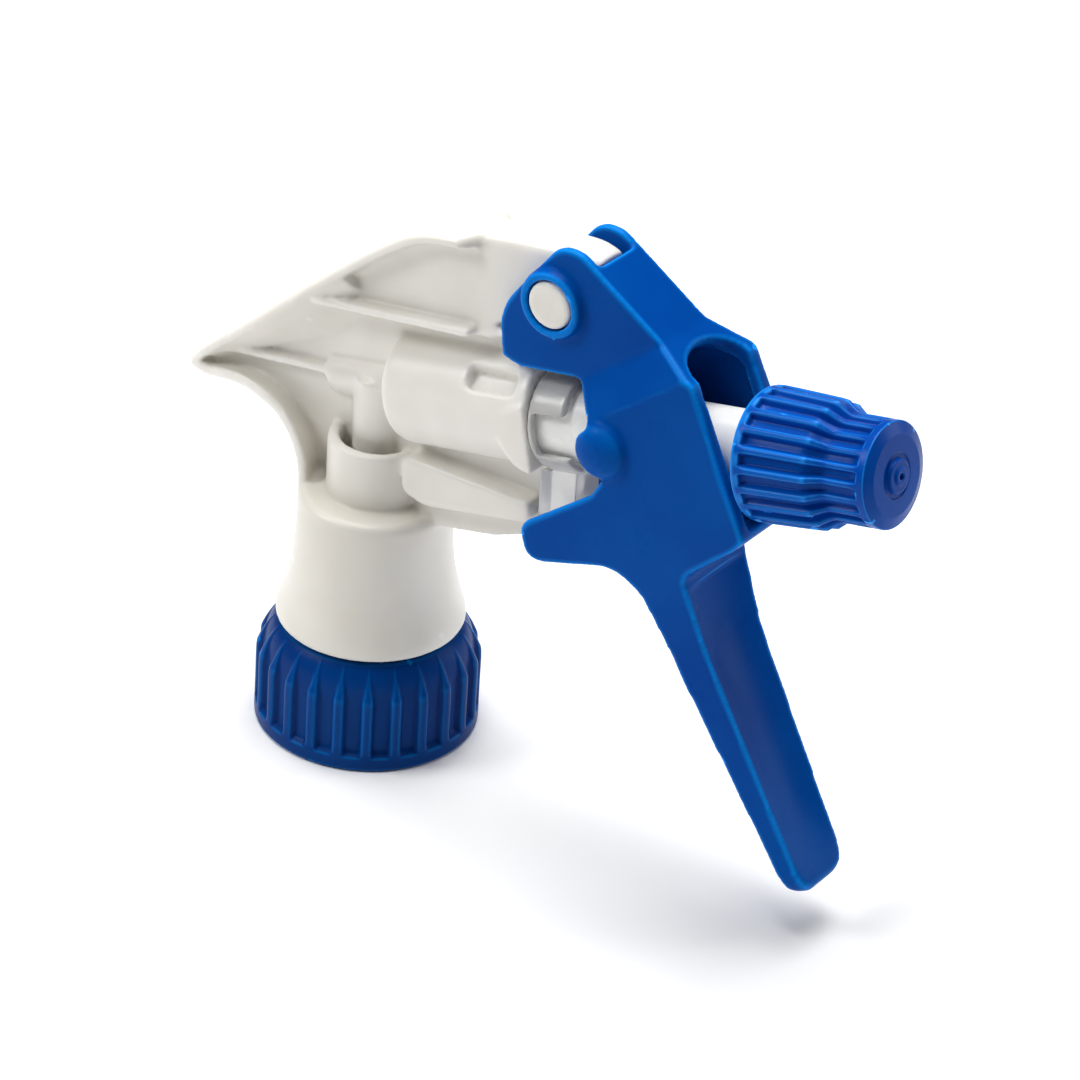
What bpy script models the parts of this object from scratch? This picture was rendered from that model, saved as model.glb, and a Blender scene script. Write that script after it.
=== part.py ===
"""Trigger sprayer head with a nozzle that moves with the trigger.

Frame: origin on the neck axis in the bottom plane of the closure collar,
+Z up along the neck, +X forwards (the way it sprays), +Y to the left.
Dimensions below are in millimetres and are turned into metres on the way in.
"""
import math

import bmesh
import bpy
from mathutils import Matrix, Vector

MM = 0.001
NAME = "trigger_sprayer_head"

# ---- driving dimensions (mm, degrees) --------------------------------------
GAP = 0.30                    # free gap between neighbouring pieces

PUMP_TILT = 12.7              # pump axis rises towards the nozzle
PUMP_Z0 = 56.79               # height of the pump axis above the neck axis origin
PIVOT_X, PIVOT_Z = 33.0, 84.8  # trigger pivot
TRUNNION_S = 45.3             # plunger trunnions, distance along the pump axis
TRIGGER_TRAVEL = 27.0         # degrees
RATIO = 20.2                  # plunger travel per radian of trigger

COLLAR_R = 17.0               # 28 mm closure collar
COLLAR_TOP = 16.9
COLLAR_BORE = 14.1
COLLAR_RIBS = 24
NECK_Z = 12.3                 # top of the bottle finish, under the gasket

SKIRT_R = 14.3
SKIRT_Z = 17.3
BARREL_R = 11.7
BARREL_TOP = 39.2
CUP_R, CUP_BORE, CUP_TOP = 6.9, 5.4, 48.6
PIPE_R = 3.9

CYL_R, CYL_BORE = 7.6, 6.5
CYL_REAR, CYL_MOUTH = 5.6, 32.0
CHAMBER_R, CHAMBER_REAR = 3.1, -8.2

STEM_R = 6.15                 # plunger inside the cylinder
TUBE_R = 5.45                 # nozzle tube in front of the trunnions
PLUNGER_REAR = 19.2
TRUNNION_R = 2.35
TRUNNION_Y = 9.6

WEB = 1.1                     # half thickness of the housing's centre web
ROOF_W, NOSE_W = 6.2, 3.45    # half widths of the roof, behind and between the ears
PIN_R, PIN_Y = 3.6, 6.9

EAR_W, EAR_T = 5.4, 1.5       # trigger ears: outer half width, wall
PLATE_W, WALL = 9.3, 1.45     # trigger side plates
SKIN = 1.7                    # trigger front skin
EAR_HOLE = 3.74
WINDOW_W = 5.9

CAP_BACK, CAP_FRONT = 68.0, 89.6
CAP_R, CAP_MID_R, CAP_NOSE_R = 9.5, 9.05, 7.5
CAP_RIBS = 20

TILT = math.radians(PUMP_TILT)
U = Vector((math.cos(TILT), 0.0, math.sin(TILT)))      # along the pump axis
N = Vector((-math.sin(TILT), 0.0, math.cos(TILT)))     # up, square to it


# ---- scene helpers ----------------------------------------------------------
for old in list(bpy.data.objects):
    bpy.data.objects.remove(old, do_unlink=True)

parts = bpy.data.collections.new(NAME)
cutters = bpy.data.collections.new("cutters")
bpy.context.scene.collection.children.link(parts)
bpy.context.scene.collection.children.link(cutters)


def material(name, color, rough, alpha=1.0):
    m = bpy.data.materials.new(name)
    m.use_nodes = True
    b = m.node_tree.nodes["Principled BSDF"]
    b.inputs["Base Color"].default_value = (*color, 1.0)
    b.inputs["Roughness"].default_value = rough
    b.inputs["Metallic"].default_value = 0.0
    b.inputs["Alpha"].default_value = alpha
    m.diffuse_color = (*color, alpha)
    return m


def steel(name, rough):
    m = material(name, (0.55, 0.55, 0.56), rough)
    m.node_tree.nodes["Principled BSDF"].inputs["Metallic"].default_value = 1.0
    return m


def helper(name, mesh, matrix=None):
    """An object that only serves to build another one."""
    ob = bpy.data.objects.new(name, mesh)
    cutters.objects.link(ob)
    ob.hide_render = True
    ob.display_type = "WIRE"
    if matrix is not None:
        ob.matrix_world = matrix
    return ob


def tidy(mesh):
    bm = bmesh.new()
    bm.from_mesh(mesh)
    bmesh.ops.remove_doubles(bm, verts=bm.verts, dist=2e-6)
    bmesh.ops.dissolve_degenerate(bm, edges=bm.edges, dist=1e-7)
    bmesh.ops.recalc_face_normals(bm, faces=bm.faces)
    bm.to_mesh(mesh)
    bm.free()
    return mesh


def baked(ob):
    """Replace an object's data by its evaluated mesh."""
    bpy.context.view_layer.update()
    dg = bpy.context.evaluated_depsgraph_get()
    mesh = bpy.data.meshes.new_from_object(ob.evaluated_get(dg))
    ob.modifiers.clear()
    ob.data = mesh
    return ob


def combine(ob, tool, operation):
    mod = ob.modifiers.new(operation.title(), "BOOLEAN")
    mod.operation = operation
    mod.solver = "EXACT"
    mod.object = tool
    return baked(ob)


def join(ob, *tools):
    for t in tools:
        combine(ob, t, "UNION")
    return ob


def cut(ob, *tools):
    for t in tools:
        combine(ob, t, "DIFFERENCE")
    return ob


def common(ob, tool):
    return combine(ob, tool, "INTERSECT")


def piece(name, ob, origin, mat, smooth=35.0):
    """Turn a finished helper into a named part with its origin where it belongs."""
    mesh = tidy(ob.data.copy())
    mesh.transform(ob.matrix_world)
    frame = origin if isinstance(origin, Matrix) else Matrix.Translation(Vector(origin) * MM)
    mesh.transform(frame.inverted())
    mesh.name = name
    for other in cutters.objects:
        if other.name == name:
            other.name = name + "_form"
    mesh.materials.clear()
    mesh.materials.append(mat)
    mesh.shade_smooth()
    mesh.set_sharp_from_angle(angle=math.radians(smooth))
    out = bpy.data.objects.new(name, mesh)
    parts.objects.link(out)
    out.matrix_world = frame
    return out


# ---- shape helpers ----------------------------------------------------------
def rounded(corners, step=18.0):
    """Corner list (x, z, radius) to a polygon with arcs at its corners."""
    pts = []
    n = len(corners)
    for i, (x, z, r) in enumerate(corners):
        p = Vector((x, z))
        a = Vector(corners[i - 1][:2]) - p
        b = Vector(corners[(i + 1) % n][:2]) - p
        la, lb = a.length, b.length
        a.normalize()
        b.normalize()
        turn = math.acos(max(-1.0, min(1.0, a.dot(b))))
        if r <= 0.01 or turn > math.radians(178.0):
            pts.append(p)
            continue
        reach = min(r / math.tan(turn / 2), 0.48 * la, 0.48 * lb)
        rad = reach * math.tan(turn / 2)
        centre = p + (a + b).normalized() * (rad / math.sin(turn / 2))
        p0, p1 = p + a * reach, p + b * reach
        a0 = math.atan2(p0.y - centre.y, p0.x - centre.x)
        a1 = math.atan2(p1.y - centre.y, p1.x - centre.x)
        d = (a1 - a0 + math.pi) % (2 * math.pi) - math.pi
        k = max(1, math.ceil(abs(d) / math.radians(step)))
        for j in range(k + 1):
            t = a0 + d * j / k
            pts.append(centre + rad * Vector((math.cos(t), math.sin(t))))
    return pts


def slab(name, pts, y0, y1):
    """Flat outline in the XZ plane, extruded from y0 to y1."""
    cu = bpy.data.curves.new(name, "CURVE")
    cu.dimensions = "2D"
    cu.fill_mode = "BOTH"
    cu.extrude = abs(y1 - y0) / 2 * MM
    sp = cu.splines.new("POLY")
    sp.points.add(len(pts) - 1)
    for q, p in zip(sp.points, pts):
        q.co = (p[0] * MM, p[1] * MM, 0.0, 1.0)
    sp.use_cyclic_u = True
    ob = bpy.data.objects.new(name, cu)
    cutters.objects.link(ob)
    ob.matrix_world = (Matrix.Translation((0, (y0 + y1) / 2 * MM, 0))
                       @ Matrix.Rotation(math.pi / 2, 4, "X"))
    bpy.context.view_layer.update()
    dg = bpy.context.evaluated_depsgraph_get()
    mesh = bpy.data.meshes.new_from_object(ob.evaluated_get(dg))
    mesh.transform(ob.matrix_world)
    bpy.data.objects.remove(ob, do_unlink=True)
    return helper(name, tidy(mesh))


def block(name, lo, hi, matrix=None):
    bm = bmesh.new()
    bmesh.ops.create_cube(bm, size=1.0)
    c = [(a + b) / 2 * MM for a, b in zip(lo, hi)]
    s = [(b - a) * MM for a, b in zip(lo, hi)]
    bmesh.ops.transform(bm, verts=bm.verts,
                        matrix=Matrix.Translation(c) @ Matrix.Diagonal((*s, 1.0)))
    mesh = bpy.data.meshes.new(name)
    bm.to_mesh(mesh)
    bm.free()
    if matrix is not None:
        mesh.transform(matrix)
    return helper(name, mesh)


def rod(name, r, z0, z1, matrix, segments=32, r2=None):
    """Cylinder or cone along the local Z axis of matrix, from z0 to z1."""
    bm = bmesh.new()
    bmesh.ops.create_cone(bm, cap_ends=True, segments=segments, radius1=r * MM,
                          radius2=(r if r2 is None else r2) * MM, depth=(z1 - z0) * MM)
    bmesh.ops.translate(bm, verts=bm.verts, vec=(0, 0, (z0 + z1) / 2 * MM))
    mesh = bpy.data.meshes.new(name)
    bm.to_mesh(mesh)
    bm.free()
    mesh.transform(matrix)
    return helper(name, mesh)


def ball(name, r, centre, segs=20, rings=12, scale=(1, 1, 1)):
    bm = bmesh.new()
    bmesh.ops.create_uvsphere(bm, u_segments=segs, v_segments=rings, radius=r * MM)
    bmesh.ops.scale(bm, verts=bm.verts, vec=scale)
    bmesh.ops.translate(bm, verts=bm.verts, vec=Vector(centre) * MM)
    mesh = bpy.data.meshes.new(name)
    bm.to_mesh(mesh)
    bm.free()
    return helper(name, mesh)


def turned(name, profile, matrix=None, steps=36, closed=True):
    """Profile of (radius, height) points, top to bottom down the outer side."""
    mesh = bpy.data.meshes.new(name)
    verts = [(r * MM, 0.0, z * MM) for r, z in profile]
    edges = [(i, i + 1) for i in range(len(verts) - 1)]
    if closed:
        edges.append((len(verts) - 1, 0))
    mesh.from_pydata(verts, edges, [])
    ob = helper(name, mesh)
    mod = ob.modifiers.new("Screw", "SCREW")
    mod.axis = "Z"
    mod.angle = 2 * math.pi
    mod.steps = steps
    mod.render_steps = steps
    mod.use_merge_vertices = True
    mod.merge_threshold = 1e-6
    baked(ob)
    ob.data = tidy(ob.data)
    if matrix is not None:
        ob.data.transform(matrix)
    return ob


def loft(name, sections):
    """Closed rings of points with the same count, skinned and capped."""
    bm = bmesh.new()
    rings = [[bm.verts.new(Vector(p) * MM) for p in ring] for ring in sections]
    n = len(rings[0])
    for a, b in zip(rings, rings[1:]):
        for i in range(n):
            bm.faces.new((a[i], a[(i + 1) % n], b[(i + 1) % n], b[i]))
    bm.faces.new(rings[0][::-1])
    bm.faces.new(rings[-1])
    bmesh.ops.recalc_face_normals(bm, faces=bm.faces)
    bmesh.ops.triangulate(bm, faces=bm.faces)
    mesh = bpy.data.meshes.new(name)
    bm.to_mesh(mesh)
    bm.free()
    return helper(name, mesh)


def coil(name, r, wire, s0, s1, turns, matrix, per_turn=12):
    cu = bpy.data.curves.new(name, "CURVE")
    cu.dimensions = "3D"
    cu.bevel_depth = wire / 2 * MM
    cu.bevel_resolution = 1
    cu.use_fill_caps = True
    sp = cu.splines.new("POLY")
    count = int(turns * per_turn) + 1
    sp.points.add(count - 1)
    for i, q in enumerate(sp.points):
        k = i / (count - 1)
        a = 2 * math.pi * turns * k
        z = s0 + wire / 2 + (s1 - s0 - wire) * k
        q.co = (r * math.cos(a) * MM, r * math.sin(a) * MM, z * MM, 1.0)
    ob = bpy.data.objects.new(name, cu)
    cutters.objects.link(ob)
    bpy.context.view_layer.update()
    dg = bpy.context.evaluated_depsgraph_get()
    mesh = bpy.data.meshes.new_from_object(ob.evaluated_get(dg))
    bpy.data.objects.remove(ob, do_unlink=True)
    mesh.transform(matrix)
    return helper(name, tidy(mesh))


UP = Matrix.Identity(4)
ACROSS = Matrix.Rotation(-math.pi / 2, 4, "X")          # local Z becomes +Y


def pump(s=0.0):
    """Frame on the pump axis at distance s: local Z runs along the axis."""
    return (Matrix.Translation(Vector((0, 0, PUMP_Z0 * MM)) + U * s * MM)
            @ Matrix.Rotation(math.pi / 2 - TILT, 4, "Y"))


def on_pump(s, n=0.0, y=0.0):
    p = Vector((0, 0, PUMP_Z0)) + U * s + N * n
    return Vector((p.x, y, p.z))


def across(x, z):
    return Matrix.Translation((x * MM, 0, z * MM)) @ ACROSS


# ---- materials --------------------------------------------------------------
white_pp = material("white_pp", (0.86, 0.85, 0.82), 0.38)
blue_pp = material("blue_pp", (0.0, 0.10, 0.46), 0.30)
collar_blue = material("collar_blue", (0.0, 0.085, 0.36), 0.34)
cap_blue = material("cap_blue", (0.0, 0.11, 0.50), 0.28)
natural_pp = material("natural_pp", (0.80, 0.80, 0.77), 0.30)
natural_clear = material("natural_clear", (0.78, 0.78, 0.78), 0.25, 0.6)
seal_rubber = material("seal_rubber", (0.20, 0.20, 0.21), 0.60)
natural_ldpe = material("natural_ldpe", (0.82, 0.82, 0.80), 0.45)
gasket_foam = material("gasket_foam", (0.74, 0.74, 0.72), 0.80)
glass_ball = material("glass_ball", (0.75, 0.80, 0.80), 0.08, 0.4)
spring_steel = steel("spring_steel", 0.30)
valve_pp = material("valve_pp", (0.60, 0.62, 0.64), 0.40)


# ---- body housing -----------------------------------------------------------
ROOF_PATH = [  # x, z of the crown, half width, crown height
    (-35.0, 48.6, 2.2, 0.9), (-30.5, 53.4, 4.0, 1.1), (-21.0, 62.1, 5.6, 1.4),
    (-10.0, 72.3, ROOF_W, 1.6), (-1.0, 80.4, ROOF_W, 1.7), (3.6, 84.2, ROOF_W, 1.8),
    (7.4, 86.9, ROOF_W, 1.8), (11.0, 88.4, ROOF_W, 1.8), (16.2, 89.6, ROOF_W, 1.9),
    (17.2, 89.8, 5.5, 2.0), (18.4, 90.0, 3.9, 2.2), (19.6, 90.25, NOSE_W, 2.2),
    (30.0, 92.2, NOSE_W, 2.2), (35.2, 92.8, NOSE_W, 2.2), (38.6, 92.1, NOSE_W, 2.2)]


def roof_sections(path, arc=6, side=1.0, skin=1.9):
    """Arched sections square to the crown line."""
    out = []
    for i, (x, z, w, h) in enumerate(path):
        x0, z0 = path[max(i - 1, 0)][:2]
        x1, z1 = path[min(i + 1, len(path) - 1)][:2]
        t = Vector((x1 - x0, z1 - z0)).normalized()
        nx, nz = -t.y, t.x
        ring = []
        for k in range(arc + 1):
            a = math.radians(-90 + 180 * k / arc)
            ring.append((w * math.sin(a), -h * (1 - math.cos(a))))
        wi = max(w - skin, 0.9)
        ring.append((w, -h - side))
        ring.append((wi, -h - side - 0.2))
        ring.append((wi * 0.55, -h - skin))
        ring.append((-wi * 0.55, -h - skin))
        ring.append((-wi, -h - side - 0.2))
        ring.append((-w, -h - side))
        out.append([(x + nx * d, y, z + nz * d) for y, d in ring])
    return out


# rear saddle: x, z of the outer edge line, half width, outward bulge at the centre
SADDLE = [(-34.0, 47.4, 2.2, 0.3), (-30.0, 47.9, 3.4, 0.5), (-26.0, 49.3, 4.5, 0.8),
          (-22.0, 50.0, 5.1, 1.1), (-18.4, 49.8, 5.7, 1.4), (-15.2, 48.8, 6.0, 1.6),
          (-12.6, 46.8, 6.2, 1.8), (-10.9, 44.0, 6.3, 1.9), (-10.0, 41.0, 6.4, 2.0),
          (-9.7, 36.5, 6.5, 2.0)]


def saddle_sections(path, skin=1.8, arc=4):
    out = []
    for i, (x, z, w, b) in enumerate(path):
        x0, z0 = path[max(i - 1, 0)][:2]
        x1, z1 = path[min(i + 1, len(path) - 1)][:2]
        t = Vector((x1 - x0, z1 - z0)).normalized()
        nx, nz = t.y, -t.x                      # down and to the rear
        ring = []
        for k in range(arc + 1):
            y = -w + 2 * w * k / arc
            ring.append((y, b * (1 - (y / w) ** 2)))
        for k in range(arc + 1):
            y = w - 2 * w * k / arc
            ring.append((y, b * (1 - (y / w) ** 2) - skin))
        out.append([(x + nx * d, y, z + nz * d) for y, d in ring])
    return out


def make_body():
    # centre web from the beak to the pump mouth and down to the barrel
    mouth = on_pump(CYL_MOUTH - 0.6)
    web = slab("web", rounded([
        (-33.6, 48.6, 1.0), (6.6, 85.8, 8.0), (30.0, 89.5, 1.0), (31.5, 79.5, 1.0),
        (mouth.x - 1.0, mouth.z + 8.5, 0.0), (mouth.x, mouth.z, 0.0), (30.6, 44.0, 1.0),
        (22.0, 40.2, 6.0), (11.0, 37.4, 0.0), (0.0, 36.9, 0.0), (-10.4, 37.0, 0.0),
        (-11.0, 42.5, 4.0), (-14.2, 47.6, 5.0), (-22.0, 50.2, 8.0), (-29.5, 47.9, 4.0)]),
        -WEB, WEB)
    body = loft("roof", roof_sections(ROOF_PATH))
    join(body, web, loft("saddle", saddle_sections(SADDLE)))

    # ledge under the roof: wide behind the ears, narrow between them
    ledge = slab("ledge", rounded([(-9.0, 70.2, 0.5), (19.0, 75.2, 0.5), (19.0, 73.9, 0.5),
                                   (-9.0, 68.9, 0.5)]), -5.9, 5.9)
    thin_rib = slab("thin_rib", rounded([(-28.0, 54.0, 0.4), (-6.5, 57.6, 0.3),
                                         (-6.5, 56.5, 0.3), (-27.0, 52.9, 0.4)]), -2.7, 2.7)
    # nose between the ears, with room for the trigger's front skin to swing
    arc = [(PIVOT_X + 5.3 * math.cos(math.radians(a)), PIVOT_Z + 5.3 * math.sin(math.radians(a)), 0.0)
           for a in range(42, -76, -14)]
    nose = slab("nose", rounded([(18.8, 76.0, 1.0), (18.8, 88.0, 0.5), (36.0, 90.3, 0.5)]
                                + arc + [(31.0, 78.4, 1.0)]), -NOSE_W, NOSE_W)
    pins = rod("pins", PIN_R, -PIN_Y, PIN_Y, across(PIVOT_X, PIVOT_Z))
    join(body, ledge, thin_rib, nose, pins)

    # barrel with its flared skirt, hollow from below for the intake shank
    barrel = turned("barrel", [
        (10.3, BARREL_TOP), (11.2, BARREL_TOP - 0.3), (11.6, BARREL_TOP - 1.1), (BARREL_R, 33.0),
        (12.0, 28.0), (12.6, 24.6), (13.4, 21.4), (14.0, 19.4), (SKIRT_R, 18.4),
        (SKIRT_R, SKIRT_Z + 0.3), (SKIRT_R - 0.3, SKIRT_Z), (12.6, SKIRT_Z), (12.3, 19.2),
        (10.1, 20.4), (10.1, 36.2), (4.5, 36.8), (0.0, 36.8), (0.0, BARREL_TOP)], closed=True)
    cup = turned("cup", [(CUP_R - 0.3, CUP_TOP), (CUP_R, CUP_TOP - 0.4), (CUP_R, 38.4), (0.0, 38.4),
                         (0.0, 40.4), (CUP_BORE, 40.4), (CUP_BORE, CUP_TOP)], closed=True)
    pipe = rod("pipe", PIPE_R, 38.5, 58.5, UP, 24)
    chamber = rod("chamber", CHAMBER_R, CHAMBER_REAR, CYL_REAR + 1.0,
                  pump() @ Matrix.Translation((-0.9 * MM, 0, 0)), 24)
    cylinder = turned("cylinder", [
        (0.0, CYL_MOUTH), (CYL_R, CYL_MOUTH), (CYL_R, CYL_REAR + 1.2), (CYL_R - 0.4, CYL_REAR + 0.3),
        (CYL_R - 1.2, CYL_REAR), (0.0, CYL_REAR)], pump(), closed=False)
    lugs = rod("lugs", 5.2, -7.6, 7.6, across(*on_pump(CYL_MOUTH, -1.0).xz), 28)
    lugs = common(lugs, block("lug_keep", (-7.0, -10, CYL_MOUTH - 9), (8.0, 10, CYL_MOUTH), pump()))
    beam = slab("beam", rounded([(7.6, 43.4, 1.6), (7.4, 49.6, 1.6), (30.4, 50.6, 0.8), (30.4, 47.3, 0.8),
                                 (12.0, 42.6, 3.0)]), -4.4, 4.4)
    join(body, barrel, beam, cup, pipe, chamber, cylinder, lugs)

    # pump bore, inlet passage and the vents
    bore = rod("bore", CYL_BORE, CYL_REAR + 2.0, CYL_MOUTH + 4.0, pump(), 36)
    port = rod("port", 1.5, -2.5, CYL_REAR + 3.0, pump(), 16)
    riser = rod("riser", 1.7, 43.0, 57.6, UP, 16)
    cage = rod("cage", 2.75, 37.9, 43.6, UP, 24)
    seat = rod("seat", 4.5, 30.0, 38.0, UP, 28)
    cut(body, bore, port, riser, cage, seat)
    cut(body, slot_cutter(1), slot_cutter(-1))
    return piece("body_housing", body, (0, 0, 0), white_pp)


def slot_cutter(side):
    """Rectangular window high on the side of the cylinder near its mouth."""
    a0, a1 = math.radians(38), math.radians(62)
    p = [(r * math.sin(a), side * r * math.cos(a))
         for r, a in ((5.2, a0), (9.0, a0), (9.0, a1), (5.2, a1))]
    return loft("slot", [[on_pump(s, n, y) for n, y in p] for s in (21.2, 29.6)])


# ---- trigger ----------------------------------------------------------------
TRIGGER_OUTLINE = [
    (24.8, 71.9, 1.0), (23.6, 80.5, 9.0), (34.2, 95.2, 4.5), (51.2, 85.1, 5.0), (58.2, 82.2, 1.5),
    (68.7, 61.6, 1.3), (66.6, 59.3, 1.0), (59.0, 52.0, 3.0), (63.5, 41.1, 20.0), (83.0, 7.4, 1.4),
    (80.1, 5.9, 1.2), (59.8, 34.9, 20.0), (50.2, 50.2, 7.0), (33.6, 44.4, 2.8), (31.9, 50.2, 2.4),
    (43.6, 59.6, 1.5), (45.5, 63.2, 0.6), (41.9, 71.0, 2.5), (38.0, 74.6, 1.5)]

# inner outline: follows the front skin and runs out behind the trigger
TRIGGER_HOLLOW = [
    (5.0, 110.0, 0.0), (40.5, 110.0, 0.0), (38.9, 90.9, 0.0), (38.1, 89.6, 0.3), (50.6, 82.4, 4.0),
    (57.0, 79.8, 1.5), (66.2, 61.7, 1.0), (57.0, 52.8, 3.0), (61.8, 40.6, 18.0), (76.4, 15.2, 1.0),
    (69.0, 10.0, 0.0), (20.0, 10.0, 0.0), (5.0, 40.0, 0.0)]

# width stations along the trigger: rear point, front point, half widths there
TRIGGER_WIDTH = [
    ((-4.0, 79.0), (38.0, 113.0), EAR_W, EAR_W), ((33.8, 71.3), (52.6, 86.5), EAR_W, EAR_W),
    ((37.6, 66.8), (59.6, 84.8), PLATE_W, 7.9), ((38.0, 60.0), (68.0, 72.0), PLATE_W, 8.3),
    ((26.0, 45.5), (71.0, 62.0), PLATE_W, 8.2), ((44.0, 42.0), (66.0, 52.0), 8.3, 7.3),
    ((54.0, 36.0), (69.0, 42.0), 6.9, 6.6), ((66.0, 19.0), (79.0, 25.0), 6.1, 6.0),
    ((76.0, 0.0), (89.0, 7.5), 5.5, 5.4)]


# frame at the lever's lower end: local X runs down the lever, local Z out of its front
LEVER_END_R, LEVER_END_W = 3.2, 5.5
LEVER_DOWN = Vector((0.501, 0.0, -0.8654)).normalized()
LEVER_OUT = LEVER_DOWN.cross(Vector((0.0, 1.0, 0.0)))
LEVER_END = Matrix.Translation((0.083, 0.0, 0.0074)) @ Matrix(
    (LEVER_DOWN, (0.0, 1.0, 0.0), LEVER_OUT)).transposed().to_4x4()


def width_envelope(name, inset):
    """Solid whose sides are the trigger's side walls, drawn in by inset."""
    rings = []
    for (xa, za), (xb, zb), wa, wb in TRIGGER_WIDTH:
        rings.append([(xa, -wa + inset, za), (xa, wa - inset, za),
                      (xb, wb - inset, zb), (xb, -wb + inset, zb)])
    return loft(name, rings)


def trunnion_path(steps=5):
    """Where the trunnion lies in the trigger's own frame as it is pulled."""
    out = []
    for i in range(steps + 1):
        a = math.radians(TRIGGER_TRAVEL) * i / steps
        p = on_pump(TRUNNION_S - RATIO * a)
        dx, dz = p.x - PIVOT_X, p.z - PIVOT_Z
        out.append((PIVOT_X + dx * math.cos(a) - dz * math.sin(a),
                    PIVOT_Z + dx * math.sin(a) + dz * math.cos(a)))
    return out


def make_trigger():
    outline = rounded(TRIGGER_OUTLINE)
    trig = slab("trigger", outline, -12.0, 12.0)
    common(trig, width_envelope("outer_widths", 0.0))
    hollow = slab("hollow", rounded(TRIGGER_HOLLOW), -12.0, 12.0)
    common(hollow, width_envelope("inner_widths", WALL))
    cut(trig, hollow)

    # raised rings round the pivot pins, and domes over the trunnion pockets
    for side in (-1, 1):
        ys = sorted((side * (EAR_W - 0.6), side * (PIN_Y - 0.1)))
        ring = rod("ring", 5.0, ys[0], ys[1], across(PIVOT_X, PIVOT_Z), 28,
                   r2=4.5) if side > 0 else rod("ring", 4.5, ys[0], ys[1],
                                                across(PIVOT_X, PIVOT_Z), 28, r2=5.0)
        join(trig, ring)
    tx, tz = on_pump(TRUNNION_S).xz
    rear = slab("rear_cut", [(45.7, 62.0), (41.2, 72.0), (30.0, 72.0), (30.0, 62.0)], -14.0, 14.0)
    for side in (-1, 1):
        dome = ball("dome", 4.2, (tx, side * (PLATE_W - 0.8), tz), 24, 14, (1, 0.6, 1))
        dome = cut(dome, rear)
        dome = common(dome, block("dome_keep", (30, 8.2, 50), (60, 14, 80)) if side > 0
                      else block("dome_keep", (30, -14, 50), (60, -8.2, 80)))
        join(trig, dome)

    cut(trig, rod("pin_hole", EAR_HOLE, -9.0, 9.0, across(PIVOT_X, PIVOT_Z)))
    path = trunnion_path()
    for side in (-1, 1):
        ys = sorted((side * 7.0, side * (TRUNNION_Y + 0.3)))
        r = TRUNNION_R + 0.4
        (xa, za), (xb, zb) = path[0], min(path, key=lambda p: math.hypot(p[0] - PIVOT_X, p[1] - PIVOT_Z))
        pocket = rod("pocket", r, ys[0], ys[1], across(xa, za), 20)
        for x, z in path[1:]:
            join(pocket, rod("pocket_step", r, ys[0], ys[1], across(x, z), 20))
        # entry from the rear, where the trunnion is snapped in
        join(pocket, slab("pocket_entry", [(xa + 0.2, za - r + 0.1), (xb + 0.2, zb + r - 0.1),
                                           (xb - 9.0, zb + r - 0.1), (xa - 9.0, za - r + 0.1)],
                          ys[0], ys[1]))
        cut(trig, pocket)

    # rounded lower corners of the lever, seen from the front
    for side in (-1, 1):
        lo, hi = sorted((side * (LEVER_END_W - LEVER_END_R), side * 9.0))
        corner = block("corner", (-LEVER_END_R, lo, -8.0), (6.0, hi, 4.0), LEVER_END)
        centre = LEVER_END @ Matrix.Translation((-LEVER_END_R * MM, side * (LEVER_END_W - LEVER_END_R) * MM, 0))
        cut(corner, rod("corner_round", LEVER_END_R, -9.0, 5.0, centre, 40))
        cut(trig, corner)

    # relief above the window for the nozzle tube when the trigger is fully pulled
    swing = (Matrix.Translation((PIVOT_X * MM, 0, PIVOT_Z * MM))
             @ Matrix.Rotation(-math.radians(TRIGGER_TRAVEL), 4, "Y")
             @ Matrix.Translation((-PIVOT_X * MM, 0, -PIVOT_Z * MM)))
    cut(trig, rod("tube_relief", TUBE_R + 0.45, 44.0, 62.0, swing @ pump(), 40))

    # arched window that lets the nozzle tube through
    arch = [(53.3 + 4.7 * (1 - math.sin(math.radians(a))), WINDOW_W * math.cos(math.radians(a)))
            for a in range(0, 181, 15)]
    plan = [(80.0, WINDOW_W)] + arch + [(80.0, -WINDOW_W)]
    window = loft("window", [[(x, y, z) for x, y in plan] for z in (62.6, 92.0)])
    cut(trig, window)
    return piece("trigger_lever", trig, (PIVOT_X, 0, PIVOT_Z), blue_pp)


# ---- plunger and nozzle -----------------------------------------------------
def make_plunger():
    p = turned("plunger", [
        (1.6, 83.9), (3.9, 83.9), (3.9, 77.4), (4.6, 77.2), (4.6, 75.4), (3.9, 75.2), (3.9, 73.8),
        (4.6, 73.6), (TUBE_R - 0.6, 69.5), (TUBE_R, 69.3), (TUBE_R, 50.4), (STEM_R, 49.2),
        (STEM_R, 28.2), (5.2, 28.0), (5.2, 25.6), (STEM_R, 25.4), (STEM_R, 22.6), (5.2, 22.4),
        (5.2, PLUNGER_REAR), (4.7, PLUNGER_REAR), (4.7, 28.6), (1.7, 29.2), (1.7, 58.0),
        (3.0, 59.6), (3.0, 80.4), (1.6, 81.0)], pump(), closed=True)
    for side in (-1, 1):
        ys = sorted((side * (STEM_R - 1.6), side * TRUNNION_Y))
        arm = rod("arm", TRUNNION_R, ys[0], ys[1], across(*on_pump(TRUNNION_S).xz), 24)
        join(p, arm)
    return piece("plunger", p, pump(TRUNNION_S), natural_pp)


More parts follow.
